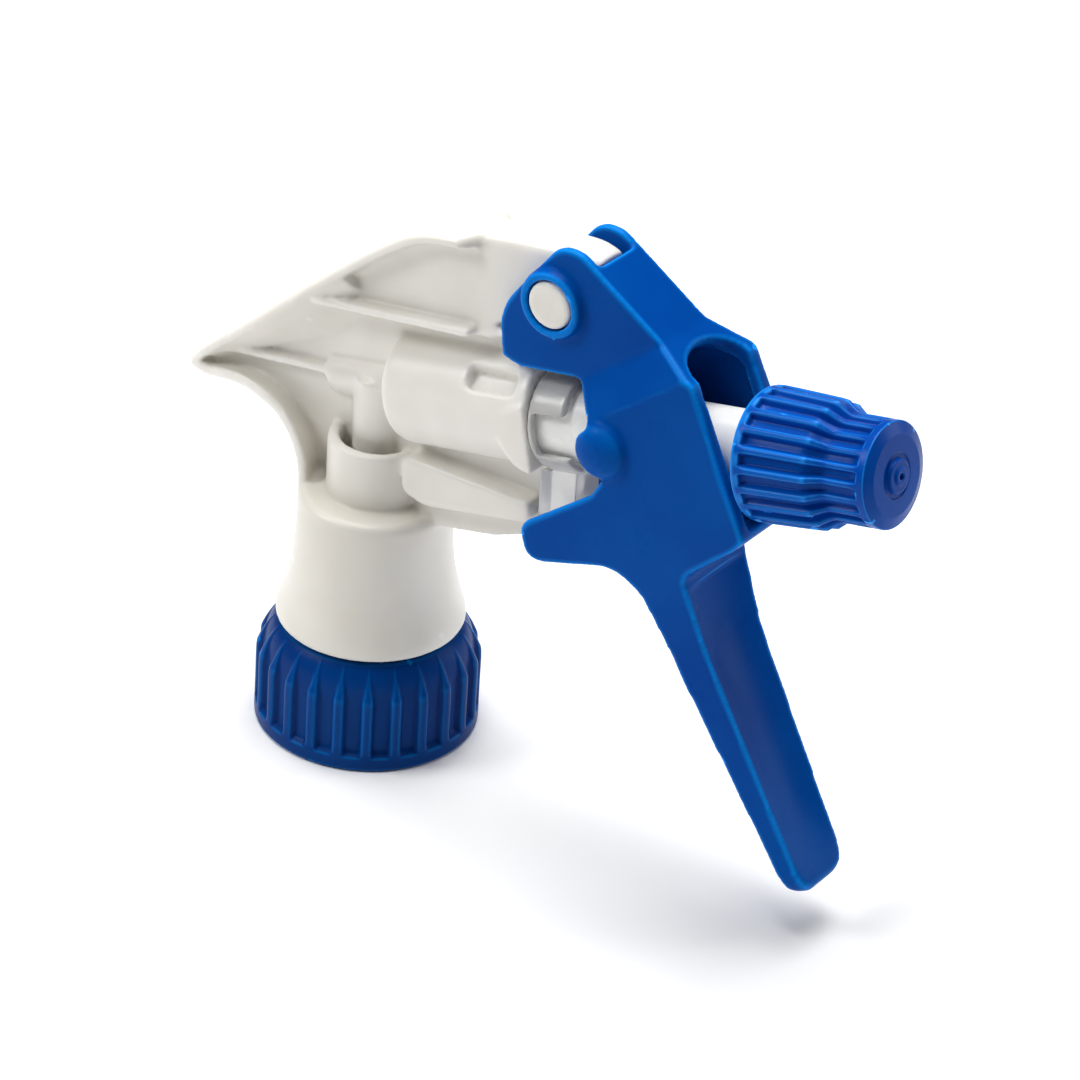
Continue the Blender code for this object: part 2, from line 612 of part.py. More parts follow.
def make_guide():
    g = turned("guide", [
        (7.5, 38.3), (7.6, 38.0), (7.6, CYL_MOUTH + GAP), (6.45, CYL_MOUTH + GAP), (6.45, 38.3)],
        pump(), closed=True)
    for side in (-1, 1):
        lo, hi = (-3.2, 2.0, CYL_MOUTH + 1.1), (3.2, 12.0, 45.0)
        if side < 0:
            lo, hi = (lo[0], -12.0, lo[2]), (hi[0], -2.0, hi[2])
        cut(g, block("side_slot", lo, hi, pump()))
    tongue = slab("tongue", rounded([(30.9, 58.5, 0.3), (37.2, 59.6, 0.3), (37.2, 49.6, 1.0),
                                     (35.6, 47.6, 1.0), (30.9, 46.6, 0.5)]), -2.9, 2.9)
    cut(tongue, rod("stem_clear", 6.9, 31.0, 60.0, pump(), 32))
    cut(tongue, rod("cylinder_clear", CYL_R + GAP, 10.0, CYL_MOUTH + 1.0, pump(), 36))
    join(g, tongue)
    return piece("guide_collar", g, pump(CYL_MOUTH), natural_clear)


def make_piston_cup():
    c = turned("cup_seal", [
        (5.35, 22.1), (6.1, 22.1), (6.38, 20.2), (6.38, 19.4), (6.1, 19.2), (5.8, 20.6),
        (5.35, 20.8)], pump(), closed=True)
    return piece("piston_cup", c, pump(21.0), natural_ldpe)


def make_wiper():
    c = turned("wiper", [(5.35, 27.8), (6.38, 27.4), (6.38, 27.0), (6.0, 26.4), (6.0, 25.8),
                         (5.35, 25.7)], pump(), closed=True)
    return piece("wiper_seal", c, pump(26.8), natural_ldpe)


def make_cap():
    core = CAP_R - 1.0
    cap = turned("cap", [
        (0.0, CAP_FRONT), (0.9, CAP_FRONT), (1.2, CAP_FRONT - 0.3), (2.3, CAP_FRONT - 0.3),
        (2.5, CAP_FRONT - 0.7), (5.6, CAP_FRONT - 0.7), (6.7, CAP_FRONT - 0.95),
        (7.3, CAP_FRONT - 1.6), (CAP_NOSE_R, CAP_FRONT - 2.4), (CAP_NOSE_R, 86.4), (CAP_NOSE_R - 0.7, 86.0),
        (CAP_NOSE_R - 0.8, 81.4), (core - 0.5, 78.6), (core, 70.0), (CAP_R - 0.2, 69.4),
        (CAP_R, 69.0), (CAP_R, 68.3),
        (CAP_R - 0.3, CAP_BACK), (6.0, CAP_BACK), (5.8, 70.0), (5.2, 72.2), (5.2, 76.8),
        (4.4, 77.8), (4.4, 84.6), (3.3, 85.0), (0.0, 85.0)], pump(), steps=40, closed=False)
    rib0 = turned("rib_ring", [(CAP_NOSE_R - 0.05, 86.6), (CAP_NOSE_R, 81.8), (CAP_NOSE_R + 0.35, 81.0),
                               (CAP_MID_R - 0.3, 79.6), (CAP_MID_R, 78.8), (CAP_R, 69.0), (7.0, 69.0),
                               (6.2, 79.0), (6.2, 86.6)], pump(), steps=40, closed=True)
    # ribs: wedges kept from the rib ring
    wedges = None
    for i in range(CAP_RIBS):
        a = 2 * math.pi * (i + 0.5) / CAP_RIBS
        m = pump() @ Matrix.Rotation(a, 4, "Z")
        b = block("rib", (4.0, -0.62, 68.0), (11.0, 0.62, 87.0), m)
        wedges = b if wedges is None else join(wedges, b)
    ribs = common(rib0, wedges)
    join(cap, ribs)
    cut(cap, rod("orifice", 0.45, 84.0, 91.0, pump(), 12))
    return piece("nozzle_cap", cap, pump(CAP_BACK), cap_blue)


def make_small():
    piece("nozzle_o_ring", turned("oring", [
        (4.15 + 0.42 + 0.42 * math.cos(a), 74.5 + 0.5 * math.sin(a))
        for a in [math.radians(90 - 45 * k) for k in range(8)]], pump(), steps=28, closed=True),
        pump(74.5), seal_rubber)
    piece("spinner", cut(turned("spin", [
        (0.0, 84.7), (2.75, 84.7), (2.75, 84.2), (1.3, 84.2), (1.3, 81.4), (0.0, 81.4)], pump(),
        steps=24, closed=False),
        block("swirl", (-0.35, -3.0, 84.35), (0.35, 3.0, 85.0), pump()),
        block("swirl", (-3.0, -0.35, 84.35), (3.0, 0.35, 85.0), pump())),
        pump(83.0), natural_pp)
    piece("outlet_valve", turned("poppet", [
        (0.0, 64.6), (1.2, 64.6), (1.2, 62.2), (2.5, 61.9), (2.5, 61.0), (1.3, 59.3), (0.0, 58.9)],
        pump(), steps=24, closed=False), pump(61.0), valve_pp)
    piece("outlet_spring", coil("outlet_coil", 2.0, 0.45, 62.3, 79.9, 9, pump(), 10),
          pump(70.0), spring_steel)
    piece("pump_spring", coil("pump_coil", 3.9, 0.95, CYL_REAR + 2.2, 28.4, 8, pump(), 12),
          pump(18.0), spring_steel)
    piece("inlet_ball", ball("inlet_ball_", 2.3, (0, 0, 39.35), 20, 12), (0, 0, 39.35), glass_ball)


# ---- neck parts -------------------------------------------------------------
def make_shank():
    s = turned("shank", [
        (4.1, 37.7), (4.1, 30.4), (9.4, 29.6), (9.8, 28.6), (9.8, 20.7), (9.8, 15.5), (10.2, 15.2),
        (12.6, 15.2), (12.6, 13.6), (4.6, 13.6), (4.6, 6.4), (4.2, 6.0), (3.3, 6.0), (3.3, 26.0),
        (1.5, 27.0), (1.5, 36.9), (1.9, 37.7)], steps=36, closed=True)
    return piece("intake_shank", s, (0, 0, 0), natural_pp)


def make_gasket():
    g = turned("gasket", [(12.8, NECK_Z + 1.0), (12.8, NECK_Z), (5.0, NECK_Z), (5.0, NECK_Z + 1.0)],
               steps=36, closed=True)
    return piece("neck_gasket", g, (0, 0, 0), gasket_foam)


def make_collar():
    base = COLLAR_R - 1.1
    col = turned("collar", [
        (10.6, COLLAR_TOP), (13.3, COLLAR_TOP), (13.9, COLLAR_TOP - 0.3), (base, 13.0), (base, 2.6),
        (COLLAR_R - 0.2, 2.3), (COLLAR_R, 2.0), (COLLAR_R, 0.3), (COLLAR_R - 0.3, 0.0),
        (COLLAR_BORE + 0.4, 0.0), (COLLAR_BORE, 0.6), (COLLAR_BORE, 12.4), (13.2, 13.4),
        (13.0, 15.5), (10.6, 15.5)], steps=48, closed=True)
    rib = slab("collar_rib", rounded([
        (15.2, 2.0, 0.0), (COLLAR_R, 2.0, 0.0), (COLLAR_R, 11.4, 0.8), (14.2, 16.2, 0.0),
        (13.6, 15.6, 0.0)]), -0.62, 0.62)
    for i in range(COLLAR_RIBS):
        r = helper("collar_rib", rib.data.copy())
        r.data.transform(Matrix.Rotation(2 * math.pi * (i + 0.5) / COLLAR_RIBS, 4, "Z"))
        join(col, r)
    # one and a half turns of thread inside
    rings = []
    steps = 36
    for i in range(steps + 1):
        a = 3 * math.pi * i / steps
        z = 2.6 + 4.3 * i / steps * 1.5
        c, s = math.cos(a), math.sin(a)
        rings.append([(r * c, r * s, z + h) for r, h in
                      ((COLLAR_BORE + 0.5, 1.0), (COLLAR_BORE + 0.5, -1.0), (COLLAR_BORE - 1.0, -0.3),
                       (COLLAR_BORE - 1.0, 0.3))])
    join(col, loft("thread", rings))
    return piece("closure_collar", col, (0, 0, 0), collar_blue)


make_body()
make_trigger()
make_plunger()
make_guide()
make_piston_cup()
make_wiper()
make_cap()
make_small()
make_shank()
make_gasket()
make_collar()
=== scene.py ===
"""Looks of the trigger sprayer head: moulded surfaces, materials, light and camera.

Lengths below are in millimetres and become metres when a piece is finished.
Frame: origin on the neck axis at the collar's lower edge, +Z up, +X forwards.
"""
import math

import bmesh
import bpy
import numpy as np
from mathutils import Matrix, Vector


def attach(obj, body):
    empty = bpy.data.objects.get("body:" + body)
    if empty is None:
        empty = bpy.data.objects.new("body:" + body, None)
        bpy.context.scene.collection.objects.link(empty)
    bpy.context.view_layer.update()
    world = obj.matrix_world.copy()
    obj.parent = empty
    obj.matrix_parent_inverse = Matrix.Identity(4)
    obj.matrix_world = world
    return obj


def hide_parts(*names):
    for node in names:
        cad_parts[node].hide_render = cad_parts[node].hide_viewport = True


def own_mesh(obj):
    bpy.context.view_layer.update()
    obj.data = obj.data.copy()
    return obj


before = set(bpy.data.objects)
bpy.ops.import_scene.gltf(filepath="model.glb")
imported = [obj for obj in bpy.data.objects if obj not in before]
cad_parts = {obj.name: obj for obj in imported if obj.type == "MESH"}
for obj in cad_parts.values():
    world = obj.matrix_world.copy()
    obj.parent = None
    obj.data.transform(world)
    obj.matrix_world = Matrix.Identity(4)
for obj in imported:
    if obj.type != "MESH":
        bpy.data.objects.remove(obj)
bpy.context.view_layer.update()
scene = bpy.context.scene

MM = 0.001

# ---- dimensions shared with the construction (mm, degrees) --------------------
PUMP_TILT, PUMP_Z0 = 12.7, 56.79
PIVOT_X, PIVOT_Z = 33.0, 84.8
TRUNNION_S, TRIGGER_TRAVEL, RATIO = 45.3, 27.0, 20.2
COLLAR_R, COLLAR_TOP, COLLAR_BORE, COLLAR_RIBS, NECK_Z = 17.0, 16.9, 14.1, 24, 12.3
SKIRT_R, SKIRT_Z, BARREL_R, BARREL_TOP = 14.3, 17.3, 11.7, 39.2
CUP_R, CUP_BORE, CUP_TOP, PIPE_R = 6.9, 5.4, 48.6, 3.9
CYL_R, CYL_BORE, CYL_REAR, CYL_MOUTH = 7.6, 6.5, 5.6, 32.0
CHAMBER_R, CHAMBER_REAR = 3.1, -8.2
STEM_R, TUBE_R, PLUNGER_REAR, TRUNNION_R, TRUNNION_Y = 6.15, 5.45, 19.2, 2.35, 9.6
WEB, ROOF_W, NOSE_W, PIN_R, PIN_Y = 1.1, 6.2, 3.45, 3.6, 6.9
EAR_W, PLATE_W, WALL, EAR_HOLE, WINDOW_W = 5.4, 9.3, 1.45, 3.74, 5.9
CAP_BACK, CAP_FRONT, CAP_R, CAP_MID_R, CAP_NOSE_R, CAP_RIBS = 68.0, 89.6, 9.5, 9.05, 7.5, 20
GAP = 0.30

TILT = math.radians(PUMP_TILT)
U = Vector((math.cos(TILT), 0.0, math.sin(TILT)))
N = Vector((-math.sin(TILT), 0.0, math.cos(TILT)))
UP = Matrix.Identity(4)
ACROSS = Matrix.Rotation(-math.pi / 2, 4, "X")


# ---- shape helpers, in millimetres ---------------------------------------------
def form(name, mesh, matrix=None):
    ob = bpy.data.objects.new(name, mesh)
    scene.collection.objects.link(ob)
    if matrix is not None:
        mesh.transform(matrix)
    return ob


def tidy(mesh, dist=2e-3):
    bm = bmesh.new()
    bm.from_mesh(mesh)
    bmesh.ops.remove_doubles(bm, verts=bm.verts, dist=dist)
    bmesh.ops.recalc_face_normals(bm, faces=bm.faces)
    bm.to_mesh(mesh)
    bm.free()
    return mesh


def baked(ob):
    bpy.context.view_layer.update()
    dg = bpy.context.evaluated_depsgraph_get()
    mesh = bpy.data.meshes.new_from_object(ob.evaluated_get(dg))
    ob.modifiers.clear()
    ob.data = mesh
    return ob


def combine(ob, tool, operation):
    mod = ob.modifiers.new(operation.title(), "BOOLEAN")
    mod.operation = operation
    mod.solver = "EXACT"
    mod.object = tool
    baked(ob)
    bpy.data.objects.remove(tool, do_unlink=True)
    return ob


def join(ob, *tools):
    for t in tools:
        combine(ob, t, "UNION")
    return ob


def cut(ob, *tools):
    for t in tools:
        combine(ob, t, "DIFFERENCE")
    return ob


def common(ob, tool):
    return combine(ob, tool, "INTERSECT")


def rounded(corners, step=8.0):
    pts = []
    n = len(corners)
    for i, (x, z, r) in enumerate(corners):
        p = Vector((x, z))
        a = Vector(corners[i - 1][:2]) - p
        b = Vector(corners[(i + 1) % n][:2]) - p
        la, lb = a.length, b.length
        a.normalize()
        b.normalize()
        turn = math.acos(max(-1.0, min(1.0, a.dot(b))))
        if r <= 0.01 or turn > math.radians(178.0):
            pts.append(p)
            continue
        reach = min(r / math.tan(turn / 2), 0.48 * la, 0.48 * lb)
        rad = reach * math.tan(turn / 2)
        centre = p + (a + b).normalized() * (rad / math.sin(turn / 2))
        p0, p1 = p + a * reach, p + b * reach
        a0 = math.atan2(p0.y - centre.y, p0.x - centre.x)
        a1 = math.atan2(p1.y - centre.y, p1.x - centre.x)
        d = (a1 - a0 + math.pi) % (2 * math.pi) - math.pi
        k = max(1, math.ceil(abs(d) / math.radians(step)))
        for j in range(k + 1):
            t = a0 + d * j / k
            pts.append(centre + rad * Vector((math.cos(t), math.sin(t))))
    return pts


def slab(name, pts, y0, y1):
    """Flat outline in the XZ plane, extruded from y0 to y1."""
    bm = bmesh.new()
    ring = [bm.verts.new((p[0], y0, p[1])) for p in pts]
    face = bm.faces.new(ring)
    top = bmesh.ops.extrude_face_region(bm, geom=[face])
    moved = [e for e in top["geom"] if isinstance(e, bmesh.types.BMVert)]
    bmesh.ops.translate(bm, verts=moved, vec=(0, y1 - y0, 0))
    bmesh.ops.triangulate(bm, faces=[f for f in bm.faces if len(f.verts) > 4])
    bmesh.ops.recalc_face_normals(bm, faces=bm.faces)
    mesh = bpy.data.meshes.new(name)
    bm.to_mesh(mesh)
    bm.free()
    return form(name, mesh)


def block(name, lo, hi, matrix=None):
    bm = bmesh.new()
    bmesh.ops.create_cube(bm, size=1.0)
    c = [(a + b) / 2 for a, b in zip(lo, hi)]
    s = [(b - a) for a, b in zip(lo, hi)]
    bmesh.ops.transform(bm, verts=bm.verts,
                        matrix=Matrix.Translation(c) @ Matrix.Diagonal((*s, 1.0)))
    mesh = bpy.data.meshes.new(name)
    bm.to_mesh(mesh)
    bm.free()
    return form(name, mesh, matrix)


def rod(name, r, z0, z1, matrix, segments=72, r2=None):
    bm = bmesh.new()
    bmesh.ops.create_cone(bm, cap_ends=True, segments=segments, radius1=r,
                          radius2=(r if r2 is None else r2), depth=(z1 - z0))
    bmesh.ops.translate(bm, verts=bm.verts, vec=(0, 0, (z0 + z1) / 2))
    mesh = bpy.data.meshes.new(name)
    bm.to_mesh(mesh)
    bm.free()
    return form(name, mesh, matrix)


def ball(name, r, centre, segs=48, rings=28, scale=(1, 1, 1)):
    bm = bmesh.new()
    bmesh.ops.create_uvsphere(bm, u_segments=segs, v_segments=rings, radius=r)
    bmesh.ops.scale(bm, verts=bm.verts, vec=scale)
    bmesh.ops.translate(bm, verts=bm.verts, vec=Vector(centre))
    mesh = bpy.data.meshes.new(name)
    bm.to_mesh(mesh)
    bm.free()
    return form(name, mesh)


def soft(profile, r=0.25, closed=True, step=18.0):
    """Rounds the corners of a profile; the ends of an open one stay."""
    pts = [(a, b, r) for a, b in profile]
    if not closed:
        pts[0] = (*profile[0], 0.0)
        pts[-1] = (*profile[-1], 0.0)
    return [tuple(p) for p in rounded(pts, step)]


def turned(name, profile, matrix=None, steps=96, closed=True):
    """Profile of (radius, height) points turned about the local Z axis."""
    n, m = len(profile), steps
    verts, faces = [], []
    for j in range(m):
        a = 2 * math.pi * j / m
        c, s = math.cos(a), math.sin(a)
        verts += [(r * c, r * s, z) for r, z in profile]
    last = n if closed else n - 1
    for j in range(m):
        k = (j + 1) % m
        for i in range(last):
            i2 = (i + 1) % n
            faces.append((j * n + i, j * n + i2, k * n + i2, k * n + i))
    mesh = bpy.data.meshes.new(name)
    mesh.from_pydata(verts, [], faces)
    tidy(mesh, 1e-4)
    bm = bmesh.new()
    bm.from_mesh(mesh)
    bmesh.ops.dissolve_degenerate(bm, edges=bm.edges, dist=1e-5)
    bmesh.ops.recalc_face_normals(bm, faces=bm.faces)
    bm.to_mesh(mesh)
    bm.free()
    return form(name, mesh, matrix)


def loft(name, sections):
    bm = bmesh.new()
    rings = [[bm.verts.new(Vector(p)) for p in ring] for ring in sections]
    n = len(rings[0])
    for a, b in zip(rings, rings[1:]):
        for i in range(n):
            bm.faces.new((a[i], a[(i + 1) % n], b[(i + 1) % n], b[i]))
    bm.faces.new(rings[0][::-1])
    bm.faces.new(rings[-1])
    bmesh.ops.recalc_face_normals(bm, faces=bm.faces)
    bmesh.ops.triangulate(bm, faces=[f for f in bm.faces if len(f.verts) > 4])
    mesh = bpy.data.meshes.new(name)
    bm.to_mesh(mesh)
    bm.free()
    return form(name, mesh)


def grid_solid(name, rings, matrix=None):
    """Rings of points, each ring closed, and the rings closed onto each other."""
    a = np.array(rings, float)
    m, n = a.shape[:2]
    verts = a.reshape(-1, 3)
    j, i = np.meshgrid(np.arange(m), np.arange(n), indexing="ij")
    k, i2 = (j + 1) % m, (i + 1) % n
    faces = np.stack([j * n + i, j * n + i2, k * n + i2, k * n + i], -1).reshape(-1, 4)
    mesh = bpy.data.meshes.new(name)
    mesh.from_pydata(verts.tolist(), [], faces.tolist())
    bm = bmesh.new()
    bm.from_mesh(mesh)
    bmesh.ops.recalc_face_normals(bm, faces=bm.faces)
    bm.to_mesh(mesh)
    bm.free()
    return form(name, mesh, matrix)


def pump(s=0.0):
    return (Matrix.Translation(Vector((0, 0, PUMP_Z0)) + U * s)
            @ Matrix.Rotation(math.pi / 2 - TILT, 4, "Y"))


def on_pump(s, n=0.0, y=0.0):
    p = Vector((0, 0, PUMP_Z0)) + U * s + N * n
    return Vector((p.x, y, p.z))


def across(x, z):
    return Matrix.Translation((x, 0, z)) @ ACROSS


def coordinates(mesh):
    co = np.empty(len(mesh.vertices) * 3)
    mesh.vertices.foreach_get("co", co)
    return co.reshape(-1, 3)


def relax(mesh, rounds, weight=0.5, keep=None):
    """Laplacian smoothing, which rounds the edges like a moulded part's."""
    co = coordinates(mesh)
    e = np.empty(len(mesh.edges) * 2, np.int64)
    mesh.edges.foreach_get("vertices", e)
    e = e.reshape(-1, 2)
    n = len(co)
    deg = np.bincount(e.ravel(), minlength=n)[:, None]
    w = weight if keep is None else weight * (1.0 - keep)[:, None]
    for _ in range(rounds):
        s = np.stack([np.bincount(e[:, 0], co[e[:, 1], k], n) + np.bincount(e[:, 1], co[e[:, 0], k], n)
                      for k in range(3)], 1)
        co = co + w * (s / deg - co)
    mesh.vertices.foreach_set("co", co.ravel())
    mesh.update()
    return mesh


def moulded(ob, voxel, rounds):
    """One skin over everything in ob, with soft edges."""
    mod = ob.modifiers.new("Skin", "REMESH")
    mod.mode = "VOXEL"
    mod.voxel_size = voxel
    mod.use_smooth_shade = True
    baked(ob)
    relax(ob.data, rounds)
    print("moulded", ob.name, len(ob.data.polygons))
    return ob


def reach_of(ob):
    co = coordinates(ob.data)
    return co.min(0), co.max(0)


def gathered(name, shells, tools):
    """All shells in one mesh, each cut by the tools that touch it; a skin then merges them."""
    spans = [reach_of(t) for t in tools]
    for sh in shells:
        lo, hi = reach_of(sh)
        for t, (a, b) in zip(tools, spans):
            if (lo > b).any() or (hi < a).any():
                continue
            mod = sh.modifiers.new("Cut", "BOOLEAN")
            mod.operation = "DIFFERENCE"
            mod.solver = "EXACT"
            mod.object = t
            baked(sh)
    for t in tools:
        bpy.data.objects.remove(t, do_unlink=True)
    bm = bmesh.new()
    for sh in shells:
        bm.from_mesh(sh.data)
        bpy.data.objects.remove(sh, do_unlink=True)
    mesh = bpy.data.meshes.new(name)
    bm.to_mesh(mesh)
    bm.free()
    ob = bpy.data.objects.new(name, mesh)
    scene.collection.objects.link(ob)
    return ob


def finished(ob, name, body, nodes, mat, sharp=None):
    """A visible piece in metres, riding on its body in place of CAD nodes."""
    mesh = ob.data
    mesh.transform(Matrix.Diagonal((MM, MM, MM, 1.0)))
    mesh.name = name
    ob.name = name
    mesh.materials.clear()
    mesh.materials.append(mat)
    mesh.shade_smooth()
    if sharp:
        mesh.set_sharp_from_angle(angle=math.radians(sharp))
    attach(ob, body)
    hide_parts(*nodes)
    return ob


# ---- materials -----------------------------------------------------------------
def plastic(name, color, rough, deep=None, light=None, edge=0.0, subsurface=0.0, radius=0.002,
            transmission=0.0, grain=0.04, specular=0.5, coat=0.0, metallic=0.0, rim_at=(0.508, 0.56), outside=None):
    """Moulded plastic: slow colour drift, painted highlight on the edges, painted shade in the creases, fine grain.
    """
    m = bpy.data.materials.new(name)
    m.use_nodes = True
    nt = m.node_tree
    nd, ln = nt.nodes, nt.links
    b = nd["Principled BSDF"]
    tc = nd.new("ShaderNodeTexCoord")

    def noise(scale, detail, rough_=0.55):
        n = nd.new("ShaderNodeTexNoise")
        n.inputs["Scale"].default_value = scale
        n.inputs["Detail"].default_value = detail
        n.inputs["Roughness"].default_value = rough_
        ln.new(tc.outputs["Object"], n.inputs["Vector"])
        return n

    deep = deep or tuple(c * 0.90 for c in color)
    light = light or tuple(min(1.0, c * 1.05 + 0.01) for c in color)
    drift = noise(38.0, 3.0)
    ramp = nd.new("ShaderNodeValToRGB")
    ramp.color_ramp.elements[0].position = 0.32
    ramp.color_ramp.elements[0].color = (*tuple(0.5 * (a + c) for a, c in zip(deep, color)), 1.0)
    ramp.color_ramp.elements[1].position = 0.68
    ramp.color_ramp.elements[1].color = (*color, 1.0)
    ln.new(drift.outputs["Fac"], ramp.inputs["Fac"])

    geo = nd.new("ShaderNodeNewGeometry")
    # painted shade: creases that Pointiness finds are darkened towards the deep colour
    painted_crease_shade = nd.new("ShaderNodeMapRange")
    painted_crease_shade.inputs["From Min"].default_value = 0.40
    painted_crease_shade.inputs["From Max"].default_value = 0.495
    ln.new(geo.outputs["Pointiness"], painted_crease_shade.inputs["Value"])
    mix1 = nd.new("ShaderNodeMix")
    mix1.data_type = "RGBA"
    mix1.inputs[6].default_value = (*deep, 1.0)
    ln.new(painted_crease_shade.outputs["Result"], mix1.inputs[0])
    ln.new(ramp.outputs["Color"], mix1.inputs[7])

    # painted highlight: edges that Pointiness finds are lightened towards the light colour
    rim = nd.new("ShaderNodeMapRange")
    rim.inputs["From Min"].default_value = rim_at[0]
    rim.inputs["From Max"].default_value = rim_at[1]
    rim.inputs["To Max"].default_value = edge
    ln.new(geo.outputs["Pointiness"], rim.inputs["Value"])
    mix2 = nd.new("ShaderNodeMix")
    mix2.data_type = "RGBA"
    painted_edge_highlight = rim.outputs["Result"]
    if outside:
        # painted edge highlight only beyond a radius from an axis, so a flat end face stays plain
        point, axis, radius = outside
        away = nd.new("ShaderNodeVectorMath")
        away.operation = "SUBTRACT"
        away.inputs[1].default_value = tuple(point)
        ln.new(tc.outputs["Object"], away.inputs[0])
        turn = nd.new("ShaderNodeVectorMath")
        turn.operation = "CROSS_PRODUCT"
        turn.inputs[1].default_value = tuple(axis)
        ln.new(away.outputs["Vector"], turn.inputs[0])
        far = nd.new("ShaderNodeVectorMath")
        far.operation = "LENGTH"
        ln.new(turn.outputs["Vector"], far.inputs[0])
        past = nd.new("ShaderNodeMath")
        past.operation = "GREATER_THAN"
        past.inputs[1].default_value = radius
        ln.new(far.outputs["Value"], past.inputs[0])
        times = nd.new("ShaderNodeMath")
        times.operation = "MULTIPLY"
        ln.new(rim.outputs["Result"], times.inputs[0])
        ln.new(past.outputs["Value"], times.inputs[1])
        painted_edge_highlight = times.outputs["Value"]
    ln.new(painted_edge_highlight, mix2.inputs[0])
    ln.new(mix1.outputs[2], mix2.inputs[6])
    mix2.inputs[7].default_value = (*light, 1.0)
    ln.new(mix2.outputs[2], b.inputs["Base Color"])

    patch = noise(120.0, 2.0)
    spread = nd.new("ShaderNodeMapRange")
    spread.inputs["To Min"].default_value = rough - 0.04
    spread.inputs["To Max"].default_value = rough + 0.05
    ln.new(patch.outputs["Fac"], spread.inputs["Value"])
    ln.new(spread.outputs["Result"], b.inputs["Roughness"])

    fine = noise(2600.0, 2.0)
    wave = noise(160.0, 1.0)
    add = nd.new("ShaderNodeMath")
    add.operation = "MULTIPLY_ADD"
    add.inputs[1].default_value = 4.0
    ln.new(wave.outputs["Fac"], add.inputs[0])
    ln.new(fine.outputs["Fac"], add.inputs[2])
    bump = nd.new("ShaderNodeBump")
    bump.inputs["Strength"].default_value = grain
    bump.inputs["Distance"].default_value = 0.0004
    ln.new(add.outputs["Value"], bump.inputs["Height"])
    ln.new(bump.outputs["Normal"], b.inputs["Normal"])

    b.inputs["Specular IOR Level"].default_value = specular
    b.inputs["Metallic"].default_value = metallic
    b.inputs["Coat Weight"].default_value = coat
    b.inputs["Coat Roughness"].default_value = 0.12
    if subsurface:
        b.inputs["Subsurface Weight"].default_value = subsurface
        b.inputs["Subsurface Radius"].default_value = (1.0, 0.85, 0.65)
        b.inputs["Subsurface Scale"].default_value = radius
    if transmission:
        b.inputs["Transmission Weight"].default_value = transmission
        b.inputs["IOR"].default_value = 1.49
    return m


# light colours are the painted edge highlights; deep colours serve both the random colour drift and the painted
# shade in creases
white_pp = plastic("white_moulded", (0.84, 0.82, 0.775), 0.34, deep=(0.60, 0.555, 0.46),
                   light=(0.88, 0.87, 0.84), edge=0.5, subsurface=0.12, radius=0.0015)
blue_pp = plastic("blue_moulded", (0.0, 0.075, 0.36), 0.28, deep=(0.0, 0.03, 0.24),
                  light=(0.005, 0.32, 1.0), edge=0.9, specular=0.03, rim_at=(0.506, 0.55))
cap_pp = plastic("blue_cap", (0.0, 0.080, 0.42), 0.24, deep=(0.0, 0.012, 0.20),
                 light=(0.02, 0.34, 1.0), edge=1.0, specular=0.08, rim_at=(0.512, 0.565),
                 outside=(MM * on_pump(0.0), U, 0.0069))
collar_pp = plastic("blue_collar", (0.0, 0.045, 0.22), 0.33, deep=(0.0, 0.008, 0.10),
                    light=(0.0, 0.16, 0.55), edge=0.9, specular=0.06)
natural = plastic("natural_moulded", (0.82, 0.82, 0.80), 0.28, subsurface=0.25, radius=0.002)
clear = plastic("clear_moulded", (0.88, 0.87, 0.85), 0.20, transmission=0.55, grain=0.02)
soft_pe = plastic("soft_natural", (0.80, 0.80, 0.78), 0.48, subsurface=0.2)
rubber = plastic("seal_black", (0.045, 0.045, 0.05), 0.62, grain=0.10, specular=0.3)
foam = plastic("gasket_grey", (0.66, 0.66, 0.64), 0.82, grain=0.30, specular=0.2)
valve = plastic("valve_grey", (0.48, 0.50, 0.53), 0.42)
steel = plastic("drawn_wire", (0.58, 0.58, 0.59), 0.26, grain=0.05, metallic=1.0)
glass = plastic("glass_clear", (0.86, 0.90, 0.90), 0.06, transmission=0.9, grain=0.0)


# ---- housing ---------------------------------------------------------------------
ROOF_PATH = [
    (-35.0, 48.6, 2.2, 0.9), (-30.5, 53.4, 4.0, 1.0), (-21.0, 62.1, 5.6, 1.2),
    (-10.0, 72.3, ROOF_W, 1.3), (-1.0, 80.4, ROOF_W, 1.4), (3.6, 84.2, ROOF_W, 1.5),
    (7.4, 86.9, ROOF_W, 1.5), (11.0, 88.4, ROOF_W, 1.5), (15.6, 89.5, ROOF_W, 1.6),
    (16.8, 89.75, 5.7, 1.8), (18.2, 90.0, 4.1, 2.1), (19.6, 90.25, NOSE_W, 2.2),
    (30.0, 92.2, NOSE_W, 2.2), (35.2, 92.8, NOSE_W, 2.2), (38.6, 92.1, NOSE_W, 2.2)]

SADDLE = [(-34.0, 47.4, 2.2, 0.3), (-30.0, 47.9, 3.4, 0.5), (-26.0, 49.3, 4.5, 0.8),
          (-22.0, 50.0, 5.1, 1.1), (-18.4, 49.8, 5.7, 1.4), (-15.2, 48.8, 6.0, 1.6),
          (-12.6, 46.8, 6.2, 1.8), (-10.9, 44.0, 6.3, 1.9), (-10.0, 41.0, 6.4, 2.0),
          (-9.7, 36.5, 6.5, 2.0)]


